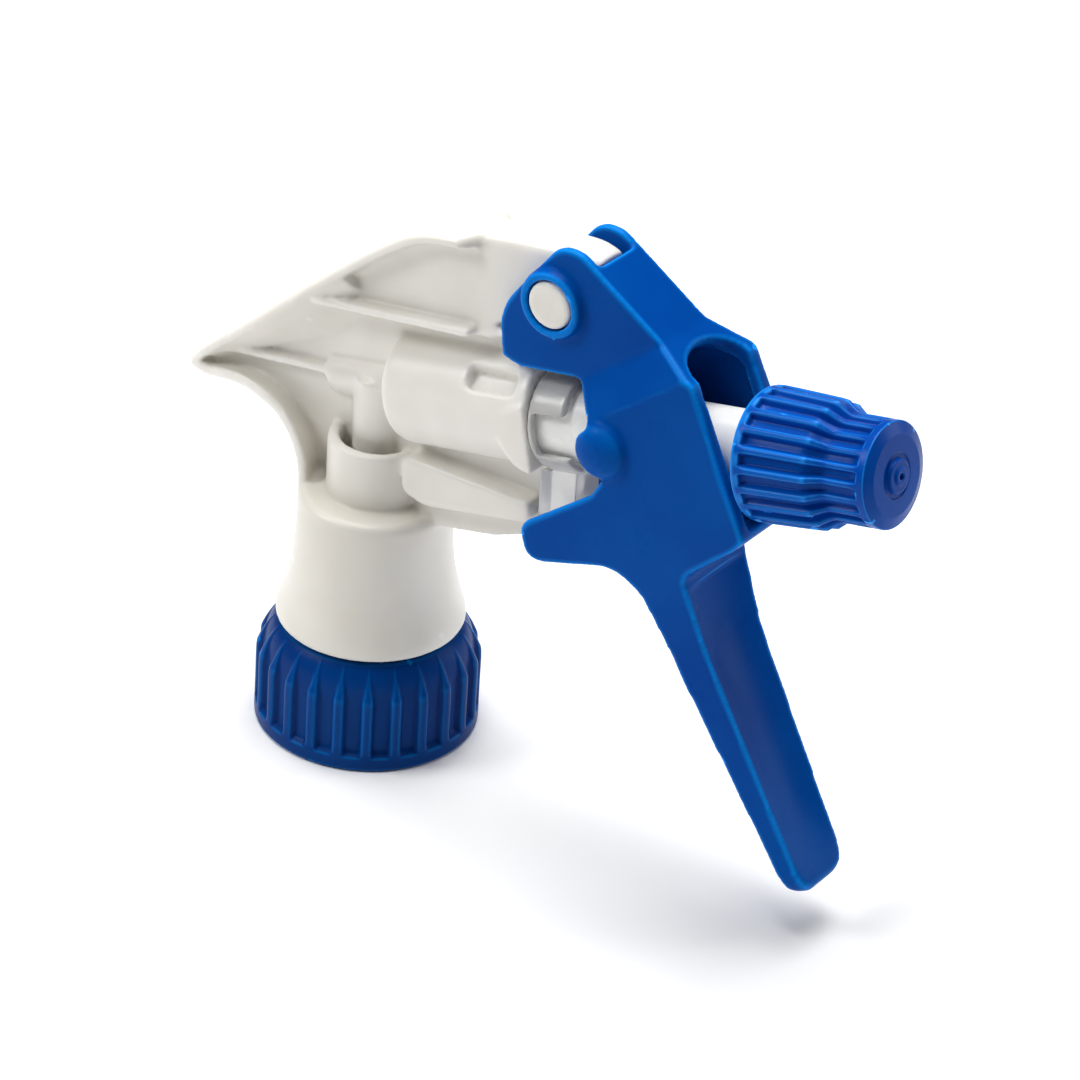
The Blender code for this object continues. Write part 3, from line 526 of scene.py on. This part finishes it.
def smooth_path(path, per=5):
    """Points along a smooth curve through the path's points."""
    p = np.array(path, float)
    out = []
    for i in range(len(p) - 1):
        a, b = p[i], p[i + 1]
        ta = (p[i + 1] - p[max(i - 1, 0)]) / (2 if i else 1)
        tb = (p[min(i + 2, len(p) - 1)] - p[i]) / (2 if i + 2 < len(p) else 1)
        for j in range(per):
            t = j / per
            h = (2 * t**3 - 3 * t**2 + 1, t**3 - 2 * t**2 + t, -2 * t**3 + 3 * t**2, t**3 - t**2)
            out.append(tuple(h[0] * a + h[1] * ta + h[2] * b + h[3] * tb))
    out.append(tuple(p[-1]))
    return out


def along(path, i):
    x0, z0 = path[max(i - 1, 0)][:2]
    x1, z1 = path[min(i + 1, len(path) - 1)][:2]
    return Vector((x1 - x0, z1 - z0)).normalized()


def roof_sections(path, arc=16, side=0.7, skin=1.7):
    out = []
    for i, (x, z, w, h) in enumerate(path):
        t = along(path, i)
        nx, nz = -t.y, t.x
        ring = []
        for k in range(arc + 1):
            a = math.radians(-90 + 180 * k / arc)
            c = max(math.cos(a), 0.0)
            ring.append((w * math.sin(a), -h * (1 - c ** 0.8)))
        wi = max(w - skin, 0.9)
        ring += [(w, -h - side), (wi, -h - side - 0.1), (wi * 0.55, -h - skin + 0.3),
                 (-wi * 0.55, -h - skin + 0.3), (-wi, -h - side - 0.1), (-w, -h - side)]
        out.append([(x + nx * d, y, z + nz * d) for y, d in ring])
    return out


def saddle_sections(path, skin=1.8, arc=12):
    out = []
    for i, (x, z, w, b) in enumerate(path):
        t = along(path, i)
        nx, nz = t.y, -t.x
        ring = []
        for k in range(arc + 1):
            y = -w + 2 * w * k / arc
            ring.append((y, b * (1 - (y / w) ** 2)))
        for k in range(arc + 1):
            y = w - 2 * w * k / arc
            ring.append((y, b * (1 - (y / w) ** 2) - skin))
        out.append([(x + nx * d, y, z + nz * d) for y, d in ring])
    return out


def rear_fill(side):
    """Slope that blends the rear roof into the centre web."""
    rings = []
    for i in range(13):
        k = i / 12
        x = -31.5 + 26.5 * k
        z = 52.45 + (76.8 - 52.45) * k
        w = 3.4 + (ROOF_W - 3.4) * min(1.0, k * 2.2) - 0.15
        deep = 1.6 + 5.6 * min(1.0, k * 1.5)
        nx, nz = -0.68, 0.733
        ring = [(0.2, -1.0), (w, -1.5), (w * 0.80, -1.5 - 0.36 * deep), (w * 0.48, -1.5 - 0.68 * deep),
                (0.9, -1.5 - deep), (0.2, -1.5 - deep)]
        rings.append([(x + nx * d, side * y, z + nz * d) for y, d in ring])
    return loft("rear_fill", rings)


def make_housing():
    mouth = on_pump(CYL_MOUTH - 0.6)
    web = slab("web", rounded([
        (-33.6, 48.6, 1.0), (6.6, 85.8, 8.0), (30.0, 89.5, 1.0), (31.5, 79.5, 1.0),
        (mouth.x - 1.0, mouth.z + 8.5, 0.0), (mouth.x, mouth.z, 0.0), (30.6, 44.0, 1.0),
        (22.0, 40.2, 6.0), (11.0, 37.4, 0.0), (0.0, 36.9, 0.0), (-10.4, 37.0, 0.0),
        (-11.0, 42.5, 4.0), (-14.2, 47.6, 5.0), (-22.0, 50.2, 8.0), (-29.5, 47.9, 4.0)]), -WEB, WEB)
    shells = [web, loft("roof", roof_sections(smooth_path(ROOF_PATH, 4))),
              loft("saddle", saddle_sections(smooth_path(SADDLE, 4)))]
    ledge = slab("ledge", rounded([(-8.6, 70.3, 0.5), (19.0, 75.2, 0.5), (19.0, 73.9, 0.5),
                                   (-8.6, 69.0, 0.5)]), -5.9, 5.9)
    thin_rib = slab("thin_rib", rounded([(-28.0, 54.0, 0.4), (-6.5, 57.7, 0.3),
                                         (-6.5, 56.5, 0.3), (-27.0, 52.9, 0.4)]), -2.7, 2.7)
    arc = [(PIVOT_X + 5.3 * math.cos(math.radians(a)), PIVOT_Z + 5.3 * math.sin(math.radians(a)), 0.0)
           for a in range(42, -76, -7)]
    nose = slab("nose", rounded([(18.8, 76.0, 1.0), (18.8, 88.0, 0.5), (36.0, 90.3, 0.5)]
                                + arc + [(31.0, 78.4, 1.0)]), -NOSE_W, NOSE_W)
    pins = turned("pins", soft([(0.0, PIN_Y), (PIN_R, PIN_Y), (PIN_R, -PIN_Y), (0.0, -PIN_Y)], 0.35,
                               closed=False), across(PIVOT_X, PIVOT_Z), closed=False)
    panel = slab("panel", rounded([(-9.6, 71.4, 0.3), (5.2, 84.3, 2.5), (20.0, 88.0, 0.3),
                                   (22.0, 73.8, 0.3), (-9.2, 69.4, 0.3)]), -NOSE_W, NOSE_W)
    ledge_tail = slab("ledge_tail", rounded([(15.0, 74.5, 0.3), (28.5, 76.9, 0.5), (28.5, 75.5, 0.5),
                                             (15.0, 73.2, 0.3)]), -3.75, 3.75)
    shells += [rear_fill(1), rear_fill(-1), ledge, thin_rib, nose, panel, ledge_tail, pins]
    barrel = turned("barrel", [
        (10.1, BARREL_TOP), (10.9, BARREL_TOP - 0.15), (11.4, BARREL_TOP - 0.55), (11.65, BARREL_TOP - 1.2),
        (BARREL_R, 33.0), (11.85, 30.0), (12.1, 27.4), (12.6, 24.6), (13.3, 21.9), (13.9, 20.0),
        (14.2, 19.0), (SKIRT_R, 18.4), (SKIRT_R, SKIRT_Z + 0.4), (SKIRT_R - 0.4, SKIRT_Z),
        (12.6, SKIRT_Z), (12.3, 19.2), (10.1, 20.4), (10.1, 36.2), (4.5, 36.8), (0.0, 36.8),
        (0.0, BARREL_TOP)], steps=144)
    cup_r = CUP_R + 0.6
    cup = turned("cup", [(cup_r - 0.45, CUP_TOP), (cup_r - 0.12, CUP_TOP - 0.15), (cup_r, CUP_TOP - 0.5),
                         (cup_r, 38.4), (0.0, 38.4), (0.0, 40.4), (CUP_BORE + 0.3, 40.4),
                         (CUP_BORE + 0.3, CUP_TOP - 0.3), (CUP_BORE + 0.6, CUP_TOP)])
    pipe = rod("pipe", PIPE_R, 38.5, 58.5, UP)
    chamber = turned("chamber", soft([(0.0, CYL_REAR + 1.0), (CHAMBER_R, CYL_REAR + 1.0),
                                      (CHAMBER_R, CHAMBER_REAR), (0.0, CHAMBER_REAR)], 0.7, closed=False),
                     pump() @ Matrix.Translation((-0.9, 0, 0)), closed=False)
    cylinder = turned("cylinder", [
        (0.0, CYL_MOUTH), (CYL_R, CYL_MOUTH), (CYL_R, CYL_REAR + 1.4), (CYL_R - 0.12, CYL_REAR + 0.8),
        (CYL_R - 0.45, CYL_REAR + 0.3), (CYL_R - 1.2, CYL_REAR), (0.0, CYL_REAR)],
        Matrix.Translation(0.85 * N) @ pump() @ Matrix.Diagonal((1.11, 1.0, 1.0, 1.0)), closed=False)
    lugs = rod("lugs", 5.2, -7.6, 7.6, across(*on_pump(CYL_MOUTH, -1.0).xz))
    lugs = common(lugs, block("lug_keep", (-7.0, -10, CYL_MOUTH - 9), (8.0, 10, CYL_MOUTH), pump()))
    beam = slab("beam", rounded([(7.6, 43.4, 1.6), (7.4, 49.6, 1.6), (30.4, 50.6, 0.8), (30.4, 47.3, 0.8),
                                 (12.0, 42.6, 3.0)]), -4.4, 4.4)
    shells += [barrel, beam, cup, pipe, chamber, cylinder, lugs]
    tools = [rod("bore", CYL_BORE, CYL_REAR + 2.0, CYL_MOUTH + 4.0, pump()),
             rod("port", 1.5, -2.5, CYL_REAR + 3.0, pump(), 24),
             rod("riser", 1.7, 43.0, 57.4, UP, 24), rod("cage", 2.75, 37.9, 43.6, UP, 40),
             rod("seat", 4.5, 30.0, 38.0, UP, 48)]
    for side in (-1, 1):
        a0, a1 = math.radians(38), math.radians(62)
        p = [(r * math.sin(a), side * r * math.cos(a))
             for r, a in ((CYL_R - 0.45, a0), (12.0, a0), (12.0, a1), (CYL_R - 0.45, a1))]
        tools.append(loft("slot", [[on_pump(s, n, y) for n, y in p] for s in (21.2, 29.6)]))
    body = gathered("housing", shells, tools)
    moulded(body, VOXEL_BODY, 7)
    return finished(body, "housing_shell", "housing", ["body_housing"], white_pp)


# ---- trigger ----------------------------------------------------------------------
TRIGGER_OUTLINE = [
    (24.8, 71.9, 1.0), (23.6, 80.5, 9.0), (34.2, 95.2, 4.5), (51.2, 85.1, 5.0), (58.2, 82.2, 1.5),
    (68.7, 61.6, 1.3), (66.6, 59.3, 1.0), (59.0, 52.0, 3.0), (63.5, 41.1, 20.0), (83.0, 7.4, 1.4),
    (80.1, 5.9, 1.2), (59.8, 34.9, 20.0), (50.2, 50.2, 7.0), (33.6, 44.4, 2.8), (31.9, 50.2, 2.4),
    (43.6, 59.6, 1.5), (45.5, 63.2, 0.6), (41.9, 71.0, 2.5), (38.0, 74.6, 1.5)]
TRIGGER_HOLLOW = [
    (5.0, 110.0, 0.0), (40.5, 110.0, 0.0), (38.9, 90.9, 0.0), (38.1, 89.6, 0.3), (50.6, 82.4, 4.0),
    (57.0, 79.8, 1.5), (66.2, 61.7, 1.0), (57.0, 52.8, 3.0), (61.8, 40.6, 18.0), (76.4, 15.2, 1.0),
    (69.0, 10.0, 0.0), (20.0, 10.0, 0.0), (5.0, 40.0, 0.0)]
TRIGGER_WIDTH = [
    ((-4.0, 79.0), (38.0, 113.0), EAR_W, EAR_W), ((33.8, 71.3), (52.6, 86.5), EAR_W, EAR_W),
    ((37.6, 66.8), (59.6, 84.8), PLATE_W, 7.9), ((38.0, 60.0), (68.0, 72.0), PLATE_W, 8.3),
    ((26.0, 45.5), (71.0, 62.0), PLATE_W, 8.2), ((44.0, 42.0), (66.0, 52.0), 8.3, 7.3),
    ((54.0, 36.0), (69.0, 42.0), 6.9, 6.6), ((66.0, 19.0), (79.0, 25.0), 6.1, 6.0),
    ((76.0, 0.0), (89.0, 7.5), 5.5, 5.4)]
LEVER_END_R, LEVER_END_W = 3.6, 5.5
LEVER_DOWN = Vector((0.501, 0.0, -0.8654)).normalized()
LEVER_OUT = LEVER_DOWN.cross(Vector((0.0, 1.0, 0.0)))
LEVER_END = Matrix.Translation((83.0, 0.0, 7.4)) @ Matrix(
    (LEVER_DOWN, (0.0, 1.0, 0.0), LEVER_OUT)).transposed().to_4x4()


def width_envelope(name, inset):
    rings = []
    for (xa, za), (xb, zb), wa, wb in TRIGGER_WIDTH:
        rings.append([(xa, -wa + inset, za), (xa, wa - inset, za),
                      (xb, wb - inset, zb), (xb, -wb + inset, zb)])
    return loft(name, rings)


def trunnion_path(steps=6):
    out = []
    for i in range(steps + 1):
        a = math.radians(TRIGGER_TRAVEL) * i / steps
        p = on_pump(TRUNNION_S - RATIO * a)
        dx, dz = p.x - PIVOT_X, p.z - PIVOT_Z
        out.append((PIVOT_X + dx * math.cos(a) - dz * math.sin(a),
                    PIVOT_Z + dx * math.sin(a) + dz * math.cos(a)))
    return out


def finger_groove(mesh):
    """Shallow concave channel down the lever's front."""
    co = coordinates(mesh)
    nrm = np.empty(len(mesh.vertices) * 3)
    mesh.vertices.foreach_get("normal", nrm)
    nrm = nrm.reshape(-1, 3)
    out = np.array(LEVER_OUT)
    facing = np.clip((nrm @ out - 0.75) / 0.2, 0, 1)
    z, y = co[:, 2], co[:, 1]
    half = np.interp(z, [7.0, 17.0, 41.0, 51.0], [5.2, 5.7, 6.5, 7.3])
    span = np.clip(1 - (y / half) ** 2, 0, 1)
    top = np.clip((50.2 - z) / 0.7, 0, 1)
    foot = np.clip((z - 9.0) / 9.0, 0, 1)
    front = (co[:, 0] > np.interp(z, [5.0, 40.0, 51.0], [72.0, 58.0, 55.0]))
    co -= np.outer(0.85 * span * top * foot * facing * front, out)
    mesh.vertices.foreach_set("co", co.ravel())
    mesh.update()


def make_trigger():
    trig = slab("trigger", rounded(TRIGGER_OUTLINE), -12.0, 12.0)
    common(trig, width_envelope("outer_widths", 0.0))
    hollow = slab("hollow", rounded(TRIGGER_HOLLOW), -12.0, 12.0)
    common(hollow, width_envelope("inner_widths", WALL))
    cut(trig, hollow)
    for side in (-1, 1):
        ring = turned("ring", soft([(0.0, PIN_Y + 0.1), (4.85, PIN_Y + 0.1), (5.35, EAR_W - 0.6),
                                    (0.0, EAR_W - 0.6)], 0.35, closed=False),
                      across(PIVOT_X, PIVOT_Z) @ Matrix.Rotation(0 if side > 0 else math.pi, 4, "X"),
                      closed=False)
        join(trig, ring)
    tx, tz = on_pump(TRUNNION_S).xz
    for side in (-1, 1):
        dome = ball("dome", 4.3, (tx + 0.7, side * (PLATE_W - 0.5), tz + 0.7), scale=(1, 0.58, 1))
        dome = common(dome, block("dome_keep", (30, 8.2, 50), (60, 14, 80)) if side > 0
                      else block("dome_keep", (30, -14, 50), (60, -8.2, 80)))
        join(trig, dome)
    cut(trig, rod("pin_hole", EAR_HOLE, -9.0, 9.0, across(PIVOT_X, PIVOT_Z)))
    path = trunnion_path()
    for side in (-1, 1):
        ys = sorted((side * 7.0, side * (TRUNNION_Y + 0.15)))
        r = TRUNNION_R + 0.45
        (xa, za), (xb, zb) = path[0], min(path, key=lambda p: math.hypot(p[0] - PIVOT_X, p[1] - PIVOT_Z))
        pocket = rod("pocket", r, ys[0], ys[1], across(xa, za), 32)
        for x, z in path[1:]:
            join(pocket, rod("pocket_step", r, ys[0], ys[1], across(x, z), 32))
        join(pocket, slab("pocket_entry", [(xa + 0.2, za - r + 0.1), (xb + 0.2, zb + r - 0.1),
                                           (xb - 9.0, zb + r - 0.1), (xa - 9.0, za - r + 0.1)],
                          ys[0], ys[1]))
        cut(trig, pocket)
    for side in (-1, 1):
        lo, hi = sorted((side * (LEVER_END_W - LEVER_END_R), side * 9.0))
        corner = block("corner", (-LEVER_END_R, lo, -8.0), (6.0, hi, 4.0), LEVER_END)
        centre = LEVER_END @ Matrix.Translation((-LEVER_END_R, side * (LEVER_END_W - LEVER_END_R), 0))
        cut(corner, rod("corner_round", LEVER_END_R, -9.0, 5.0, centre))
        cut(trig, corner)
    swing = (Matrix.Translation((PIVOT_X, 0, PIVOT_Z))
             @ Matrix.Rotation(-math.radians(TRIGGER_TRAVEL), 4, "Y")
             @ Matrix.Translation((-PIVOT_X, 0, -PIVOT_Z)))
    cut(trig, rod("tube_relief", TUBE_R + 0.5, 44.0, 62.0, swing @ pump()))
    arch = [(53.3 + 4.7 * (1 - math.sin(math.radians(a))), WINDOW_W * math.cos(math.radians(a)))
            for a in range(0, 181, 6)]
    plan = [(80.0, WINDOW_W)] + arch + [(80.0, -WINDOW_W)]
    cut(trig, loft("window", [[(x, y, z) for x, y in plan] for z in (62.6, 92.0)]))
    moulded(trig, VOXEL_TRIGGER, 8)
    finger_groove(trig.data)
    relax(trig.data, 1)
    return finished(trig, "trigger_shell", "trigger", ["trigger_lever"], blue_pp)


# ---- nozzle cap and collar: ribs as a wave in the wall ---------------------------
def blend_profiles(low, high, w):
    return [(a[0] + (b[0] - a[0]) * w, a[1] + (b[1] - a[1]) * w) for a, b in zip(low, high)]


def resample(points, n):
    p = np.array(points, float)
    d = np.concatenate([[0], np.cumsum(np.hypot(*np.diff(p, axis=0).T))])
    t = np.linspace(0, d[-1], n)
    return list(zip(np.interp(t, d, p[:, 0]), np.interp(t, d, p[:, 1])))


def rib_wave(angle, count, half, flank, phase=0.5):
    """1 on a rib, 0 between ribs, with rounded flanks; half and flank are shares of the pitch."""
    t = (angle / (2 * math.pi) * count - phase) % 1.0
    d = min(t, 1.0 - t)
    if d <= half:
        return 1.0 - 0.10 * (d / max(half, 1e-6)) ** 2
    k = min(1.0, (d - half) / flank)
    return 0.90 * (0.5 + 0.5 * math.cos(math.pi * k))


def make_cap():
    steps = CAP_RIBS * 22
    # side wall from the nose edge to the back rim: (radius, s) on a rib and between ribs
    on_rib = [(CAP_NOSE_R, 87.0), (CAP_NOSE_R, 86.4), (CAP_NOSE_R + 0.02, 84.0), (CAP_NOSE_R + 0.05, 82.0),
              (CAP_NOSE_R + 0.35, 81.1), (CAP_MID_R - 0.35, 79.8), (CAP_MID_R, 78.9), (CAP_R - 0.1, 72.0),
              (CAP_R, 69.2)]
    between = [(CAP_NOSE_R, 87.0), (CAP_NOSE_R - 0.75, 86.2), (CAP_NOSE_R - 0.85, 84.0),
               (CAP_NOSE_R - 0.8, 81.6), (CAP_NOSE_R - 0.45, 80.4), (CAP_MID_R - 1.35, 78.9),
               (CAP_MID_R - 1.1, 77.6), (CAP_R - 1.1, 70.2), (CAP_R - 0.15, 69.2)]
    on_rib = smooth_profile(on_rib, 56)
    between = smooth_profile(between, 56)
    nose = resample(soft([(0.45, CAP_FRONT - 0.35), (0.45, CAP_FRONT), (1.25, CAP_FRONT), (1.35, CAP_FRONT - 0.3),
                          (2.35, CAP_FRONT - 0.3), (2.5, CAP_FRONT - 1.0), (3.1, CAP_FRONT - 1.0),
                          (3.25, CAP_FRONT - 0.80), (5.7, CAP_FRONT - 0.84), (CAP_NOSE_R, CAP_FRONT - 1.45),
                          (CAP_NOSE_R, 87.0)], 0.14, closed=False), 90)
    rim = resample(soft([(CAP_R, 69.2), (CAP_R, CAP_BACK), (6.0, CAP_BACK), (5.8, 70.0), (5.2, 72.2),
                         (5.2, 76.8), (4.4, 77.8), (4.4, 84.6), (3.3, 85.0), (0.45, 85.0)],
                        0.3, closed=False), 70)
    rings = []
    for j in range(steps):
        a = 2 * math.pi * j / steps
        w = rib_wave(a, CAP_RIBS, 0.13, 0.17)
        prof = nose[:-1] + blend_profiles(between, on_rib, w)[:-1] + rim
        c, s = math.cos(a), math.sin(a)
        rings.append([(r * c, r * s, z) for r, z in prof])
    cap = grid_solid("cap", rings, pump())
    relax(cap.data, 1, 0.4)
    return finished(cap, "nozzle_cap_shell", "nozzle", ["nozzle_cap"], cap_pp)


def smooth_profile(points, n):
    p = smooth_path(points, 8)
    return resample(p, n)


def make_collar():
    steps = COLLAR_RIBS * 20
    low = [(13.85, 16.75), (14.6, 15.9), (15.3, 14.6), (15.75, 13.0), (15.9, 11.0), (15.9, 6.0), (15.95, 3.2),
           (16.5, 2.5), (16.85, 2.25)]
    high = [(13.85, 16.75), (14.7, 15.9), (15.75, 14.2), (16.6, 12.4), (16.95, 11.0), (16.97, 6.0), (16.98, 3.2),
            (16.98, 2.5), (16.95, 2.25)]
    low, high = smooth_profile(low, 56), smooth_profile(high, 56)
    top = resample(soft([(10.6, 15.5), (10.6, COLLAR_TOP), (13.5, COLLAR_TOP), (13.85, 16.75)], 0.2,
                        closed=False), 16)
    foot = resample(soft([(16.95, 2.25), (17.0, 2.0), (17.0, 0.0), (COLLAR_BORE + 0.4, 0.0),
                          (COLLAR_BORE, 0.6), (COLLAR_BORE, 1.0)], 0.3, closed=False), 28)
    bore = resample([(COLLAR_BORE, 1.0), (COLLAR_BORE, 12.4)], 60)
    inner = resample([(COLLAR_BORE, 12.4), (13.2, 13.4), (13.0, 15.5), (10.6, 15.5)], 16)
    rings = []
    for j in range(steps):
        a = 2 * math.pi * j / steps
        side = []
        for i, (lo, hi) in enumerate(zip(low, high)):
            # the rib narrows to a point as it runs up the shoulder
            narrow = min(1.0, max(0.12, (16.6 - hi[1]) / 4.6))
            w = rib_wave(a, COLLAR_RIBS, 0.14 * narrow, 0.13 * (0.4 + 0.6 * narrow))
            side.append((lo[0] + (hi[0] - lo[0]) * w, lo[1] + (hi[1] - lo[1]) * w))
        thread = []
        for r, z in bore:
            h = 0.0
            for turn in (0, 1):
                t = a + 2 * math.pi * turn
                if t > 3 * math.pi:
                    continue
                centre = 2.6 + 6.45 * t / (3 * math.pi)
                ease = min(1.0, t / 0.35, (3 * math.pi - t) / 0.35)
                h = max(h, ease * max(0.0, min(1.0, 1.55 - abs(z - centre) / 0.62)))
            thread.append((r - h, z))
        prof = top[:-1] + side[:-1] + foot[:-1] + thread[:-1] + inner[:-1]
        c, s = math.cos(a), math.sin(a)
        rings.append([(r * c, r * s, z) for r, z in prof])
    col = grid_solid("collar", rings)
    relax(col.data, 1, 0.4)
    return finished(col, "collar_shell", "collar", ["closure_collar"], collar_pp)


# ---- plunger, guide, neck parts and springs ---------------------------------------
def make_plunger():
    p = turned("plunger", soft([
        (1.6, 83.9), (3.9, 83.9), (3.9, 77.4), (4.6, 77.2), (4.6, 75.4), (3.9, 75.2), (3.9, 73.8),
        (4.6, 73.6), (TUBE_R - 0.6, 69.5), (TUBE_R, 69.3), (TUBE_R, 50.4), (STEM_R, 49.2),
        (STEM_R, 28.2), (5.2, 28.0), (5.2, 25.6), (STEM_R, 25.4), (STEM_R, 22.6), (5.2, 22.4),
        (5.2, PLUNGER_REAR), (4.7, PLUNGER_REAR), (4.7, 28.6), (1.7, 29.2), (1.7, 58.0),
        (3.0, 59.6), (3.0, 80.4), (1.6, 81.0)], 0.12, step=30.0), pump())
    for side in (-1, 1):
        arm = turned("arm", soft([(0.0, TRUNNION_Y), (TRUNNION_R, TRUNNION_Y), (TRUNNION_R, STEM_R - 1.6),
                                  (0.0, STEM_R - 1.6)], 0.35, closed=False),
                     across(*on_pump(TRUNNION_S).xz) @ Matrix.Rotation(0 if side > 0 else math.pi, 4, "X"),
                     closed=False, steps=48)
        join(p, arm)
    return finished(p, "plunger_body", "plunger_unit", ["plunger"], natural, sharp=40)


def make_guide():
    g = turned("guide", [(7.3, 38.3), (7.55, 38.1), (7.6, 37.8), (7.6, CYL_MOUTH + GAP),
                         (6.45, CYL_MOUTH + GAP), (6.45, 38.3)], pump())
    for side in (-1, 1):
        lo, hi = (-3.2, 2.0, CYL_MOUTH + 1.1), (3.2, 12.0, 45.0)
        if side < 0:
            lo, hi = (lo[0], -12.0, lo[2]), (hi[0], -2.0, hi[2])
        cut(g, block("side_slot", lo, hi, pump()))
    tongue = slab("tongue", rounded([(30.9, 58.5, 0.3), (37.2, 59.6, 0.3), (37.2, 49.6, 1.0),
                                     (35.6, 47.6, 1.0), (30.9, 46.6, 0.5)]), -2.9, 2.9)
    cut(tongue, rod("stem_clear", 6.9, 31.0, 60.0, pump()),
        rod("cylinder_clear", CYL_R + GAP, 10.0, CYL_MOUTH + 1.0, pump()))
    join(g, tongue)
    moulded(g, 0.22, 3)
    return finished(g, "guide_sleeve", "housing", ["guide_collar"], clear)


def make_neck():
    s = turned("shank", soft([
        (4.1, 37.7), (4.1, 30.4), (9.4, 29.6), (9.8, 28.6), (9.8, 20.7), (9.8, 15.5), (10.2, 15.2),
        (12.6, 15.2), (12.6, 13.6), (4.6, 13.6), (4.6, 6.4), (4.2, 6.0), (3.3, 6.0), (3.3, 26.0),
        (1.5, 27.0), (1.5, 36.9), (1.9, 37.7)], 0.18, step=30.0))
    finished(s, "shank_body", "housing", ["intake_shank"], natural, sharp=40)
    g = turned("gasket", soft([(12.8, NECK_Z + 1.0), (12.8, NECK_Z), (5.0, NECK_Z), (5.0, NECK_Z + 1.0)],
                              0.22, step=30.0))
    finished(g, "gasket_ring", "housing", ["neck_gasket"], foam, sharp=40)


def coil(name, r, wire, s0, s1, turns, per_turn=28, sides=12):
    """Compression spring with closed ends, wound on the pump axis."""
    count = int(turns * per_turn) + 1
    rings = []
    for i in range(count):
        k = i / (count - 1)
        lead = k * turns
        # the end turns lie closer together
        e = 0.5 * (1 - math.cos(math.pi * k))
        z = s0 + wire / 2 + (s1 - s0 - wire) * (0.75 * k + 0.25 * e)
        a = 2 * math.pi * lead
        c, s = math.cos(a), math.sin(a)
        rings.append([((r + wire / 2 * math.cos(q)) * c, (r + wire / 2 * math.cos(q)) * s,
                       z + wire / 2 * math.sin(q)) for q in [2 * math.pi * j / sides for j in range(sides)]])
    ob = loft(name, rings)
    ob.data.transform(pump())
    return ob


VOXEL_BODY, VOXEL_TRIGGER = 0.38, 0.33
make_housing()
make_trigger()
make_cap()
make_collar()
make_plunger()
make_guide()
make_neck()
# both springs stand on a fixed end along the pump axis and ride on their bodies
pump_coil = finished(coil("coil", 3.9, 0.93, CYL_REAR + 2.2, 28.4, 8), "pump_coil", "housing",
                     ["pump_spring"], steel, sharp=60)
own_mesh(pump_coil)
outlet_coil = finished(coil("coil2", 2.0, 0.43, 62.4, 79.9, 9, 24, 10), "outlet_coil", "plunger_unit",
                       ["outlet_spring"], steel, sharp=60)
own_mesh(outlet_coil)
for node, mat in (("piston_cup", soft_pe), ("wiper_seal", soft_pe), ("outlet_valve", valve),
                  ("spinner", natural), ("nozzle_o_ring", rubber), ("inlet_ball", glass)):
    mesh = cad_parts[node].data
    mesh.materials.clear()
    mesh.materials.append(mat)


# ---- floor, light and camera -------------------------------------------------
def plane(name, size, z):
    bm = bmesh.new()
    bmesh.ops.create_grid(bm, x_segments=8, y_segments=8, size=size / 2)
    mesh = bpy.data.meshes.new(name)
    bm.to_mesh(mesh)
    bm.free()
    ob = bpy.data.objects.new(name, mesh)
    ob.location = (0, 0, z)
    scene.collection.objects.link(ob)
    return ob


floor = plane("floor", 8.0, -0.0002)
m = bpy.data.materials.new("floor_paper")
m.use_nodes = True
bsdf = m.node_tree.nodes["Principled BSDF"]
bsdf.inputs["Base Color"].default_value = (0.96, 0.96, 0.96, 1.0)
bsdf.inputs["Roughness"].default_value = 0.9
bsdf.inputs["Specular IOR Level"].default_value = 0.1
floor.data.materials.append(m)


def lamp(name, kind, loc, aim, power, size=(0.3, 0.3), color=(1, 1, 1)):
    data = bpy.data.lights.new(name, kind)
    data.energy = power
    data.color = color
    if kind == "AREA":
        data.shape = "RECTANGLE"
        data.size, data.size_y = size
    ob = bpy.data.objects.new(name, data)
    ob.location = loc
    ob.rotation_mode = "QUATERNION"
    ob.rotation_quaternion = (Vector(aim) - Vector(loc)).to_track_quat("-Z", "Y")
    scene.collection.objects.link(ob)
    return ob


AIM = (0.02, 0.0, 0.05)
lamp("top_box", "AREA", (-0.10, 0.10, 0.75), AIM, 7.0, (0.5, 0.5))
lamp("left_box", "AREA", (-0.48, -0.46, 0.62), AIM, 3.2, (0.3, 0.3))
lamp("right_rim", "AREA", (0.55, 0.60, 0.30), AIM, 1.6, (0.25, 0.6))

world = bpy.data.worlds.new("studio")
world.use_nodes = True
world.node_tree.nodes["Background"].inputs["Color"].default_value = (1.0, 1.0, 1.0, 1.0)
world.node_tree.nodes["Background"].inputs["Strength"].default_value = 0.12
scene.world = world
scene.view_settings.view_transform = "Standard"

AZ, EL, ROLL = math.radians(34.32), math.radians(31.85), math.radians(4.00)
back = Vector((math.sin(AZ) * math.cos(EL), -math.cos(AZ) * math.cos(EL), math.sin(EL)))
right = Vector((math.cos(AZ), math.sin(AZ), 0.0))
up = right.cross(-back)
cam_x = math.cos(ROLL) * right + math.sin(ROLL) * up
cam_y = -math.sin(ROLL) * right + math.cos(ROLL) * up
camera = bpy.data.objects.new("camera", bpy.data.cameras.new("camera"))
camera.data.sensor_width = 36.0
camera.data.lens = 150.0
camera.data.clip_start, camera.data.clip_end = 0.01, 20.0
spin = Matrix((cam_x, cam_y, back)).transposed().to_4x4()
camera.matrix_world = Matrix.Translation((0.33926, -0.45344, 0.38348)) @ spin
scene.collection.objects.link(camera)
scene.camera = camera
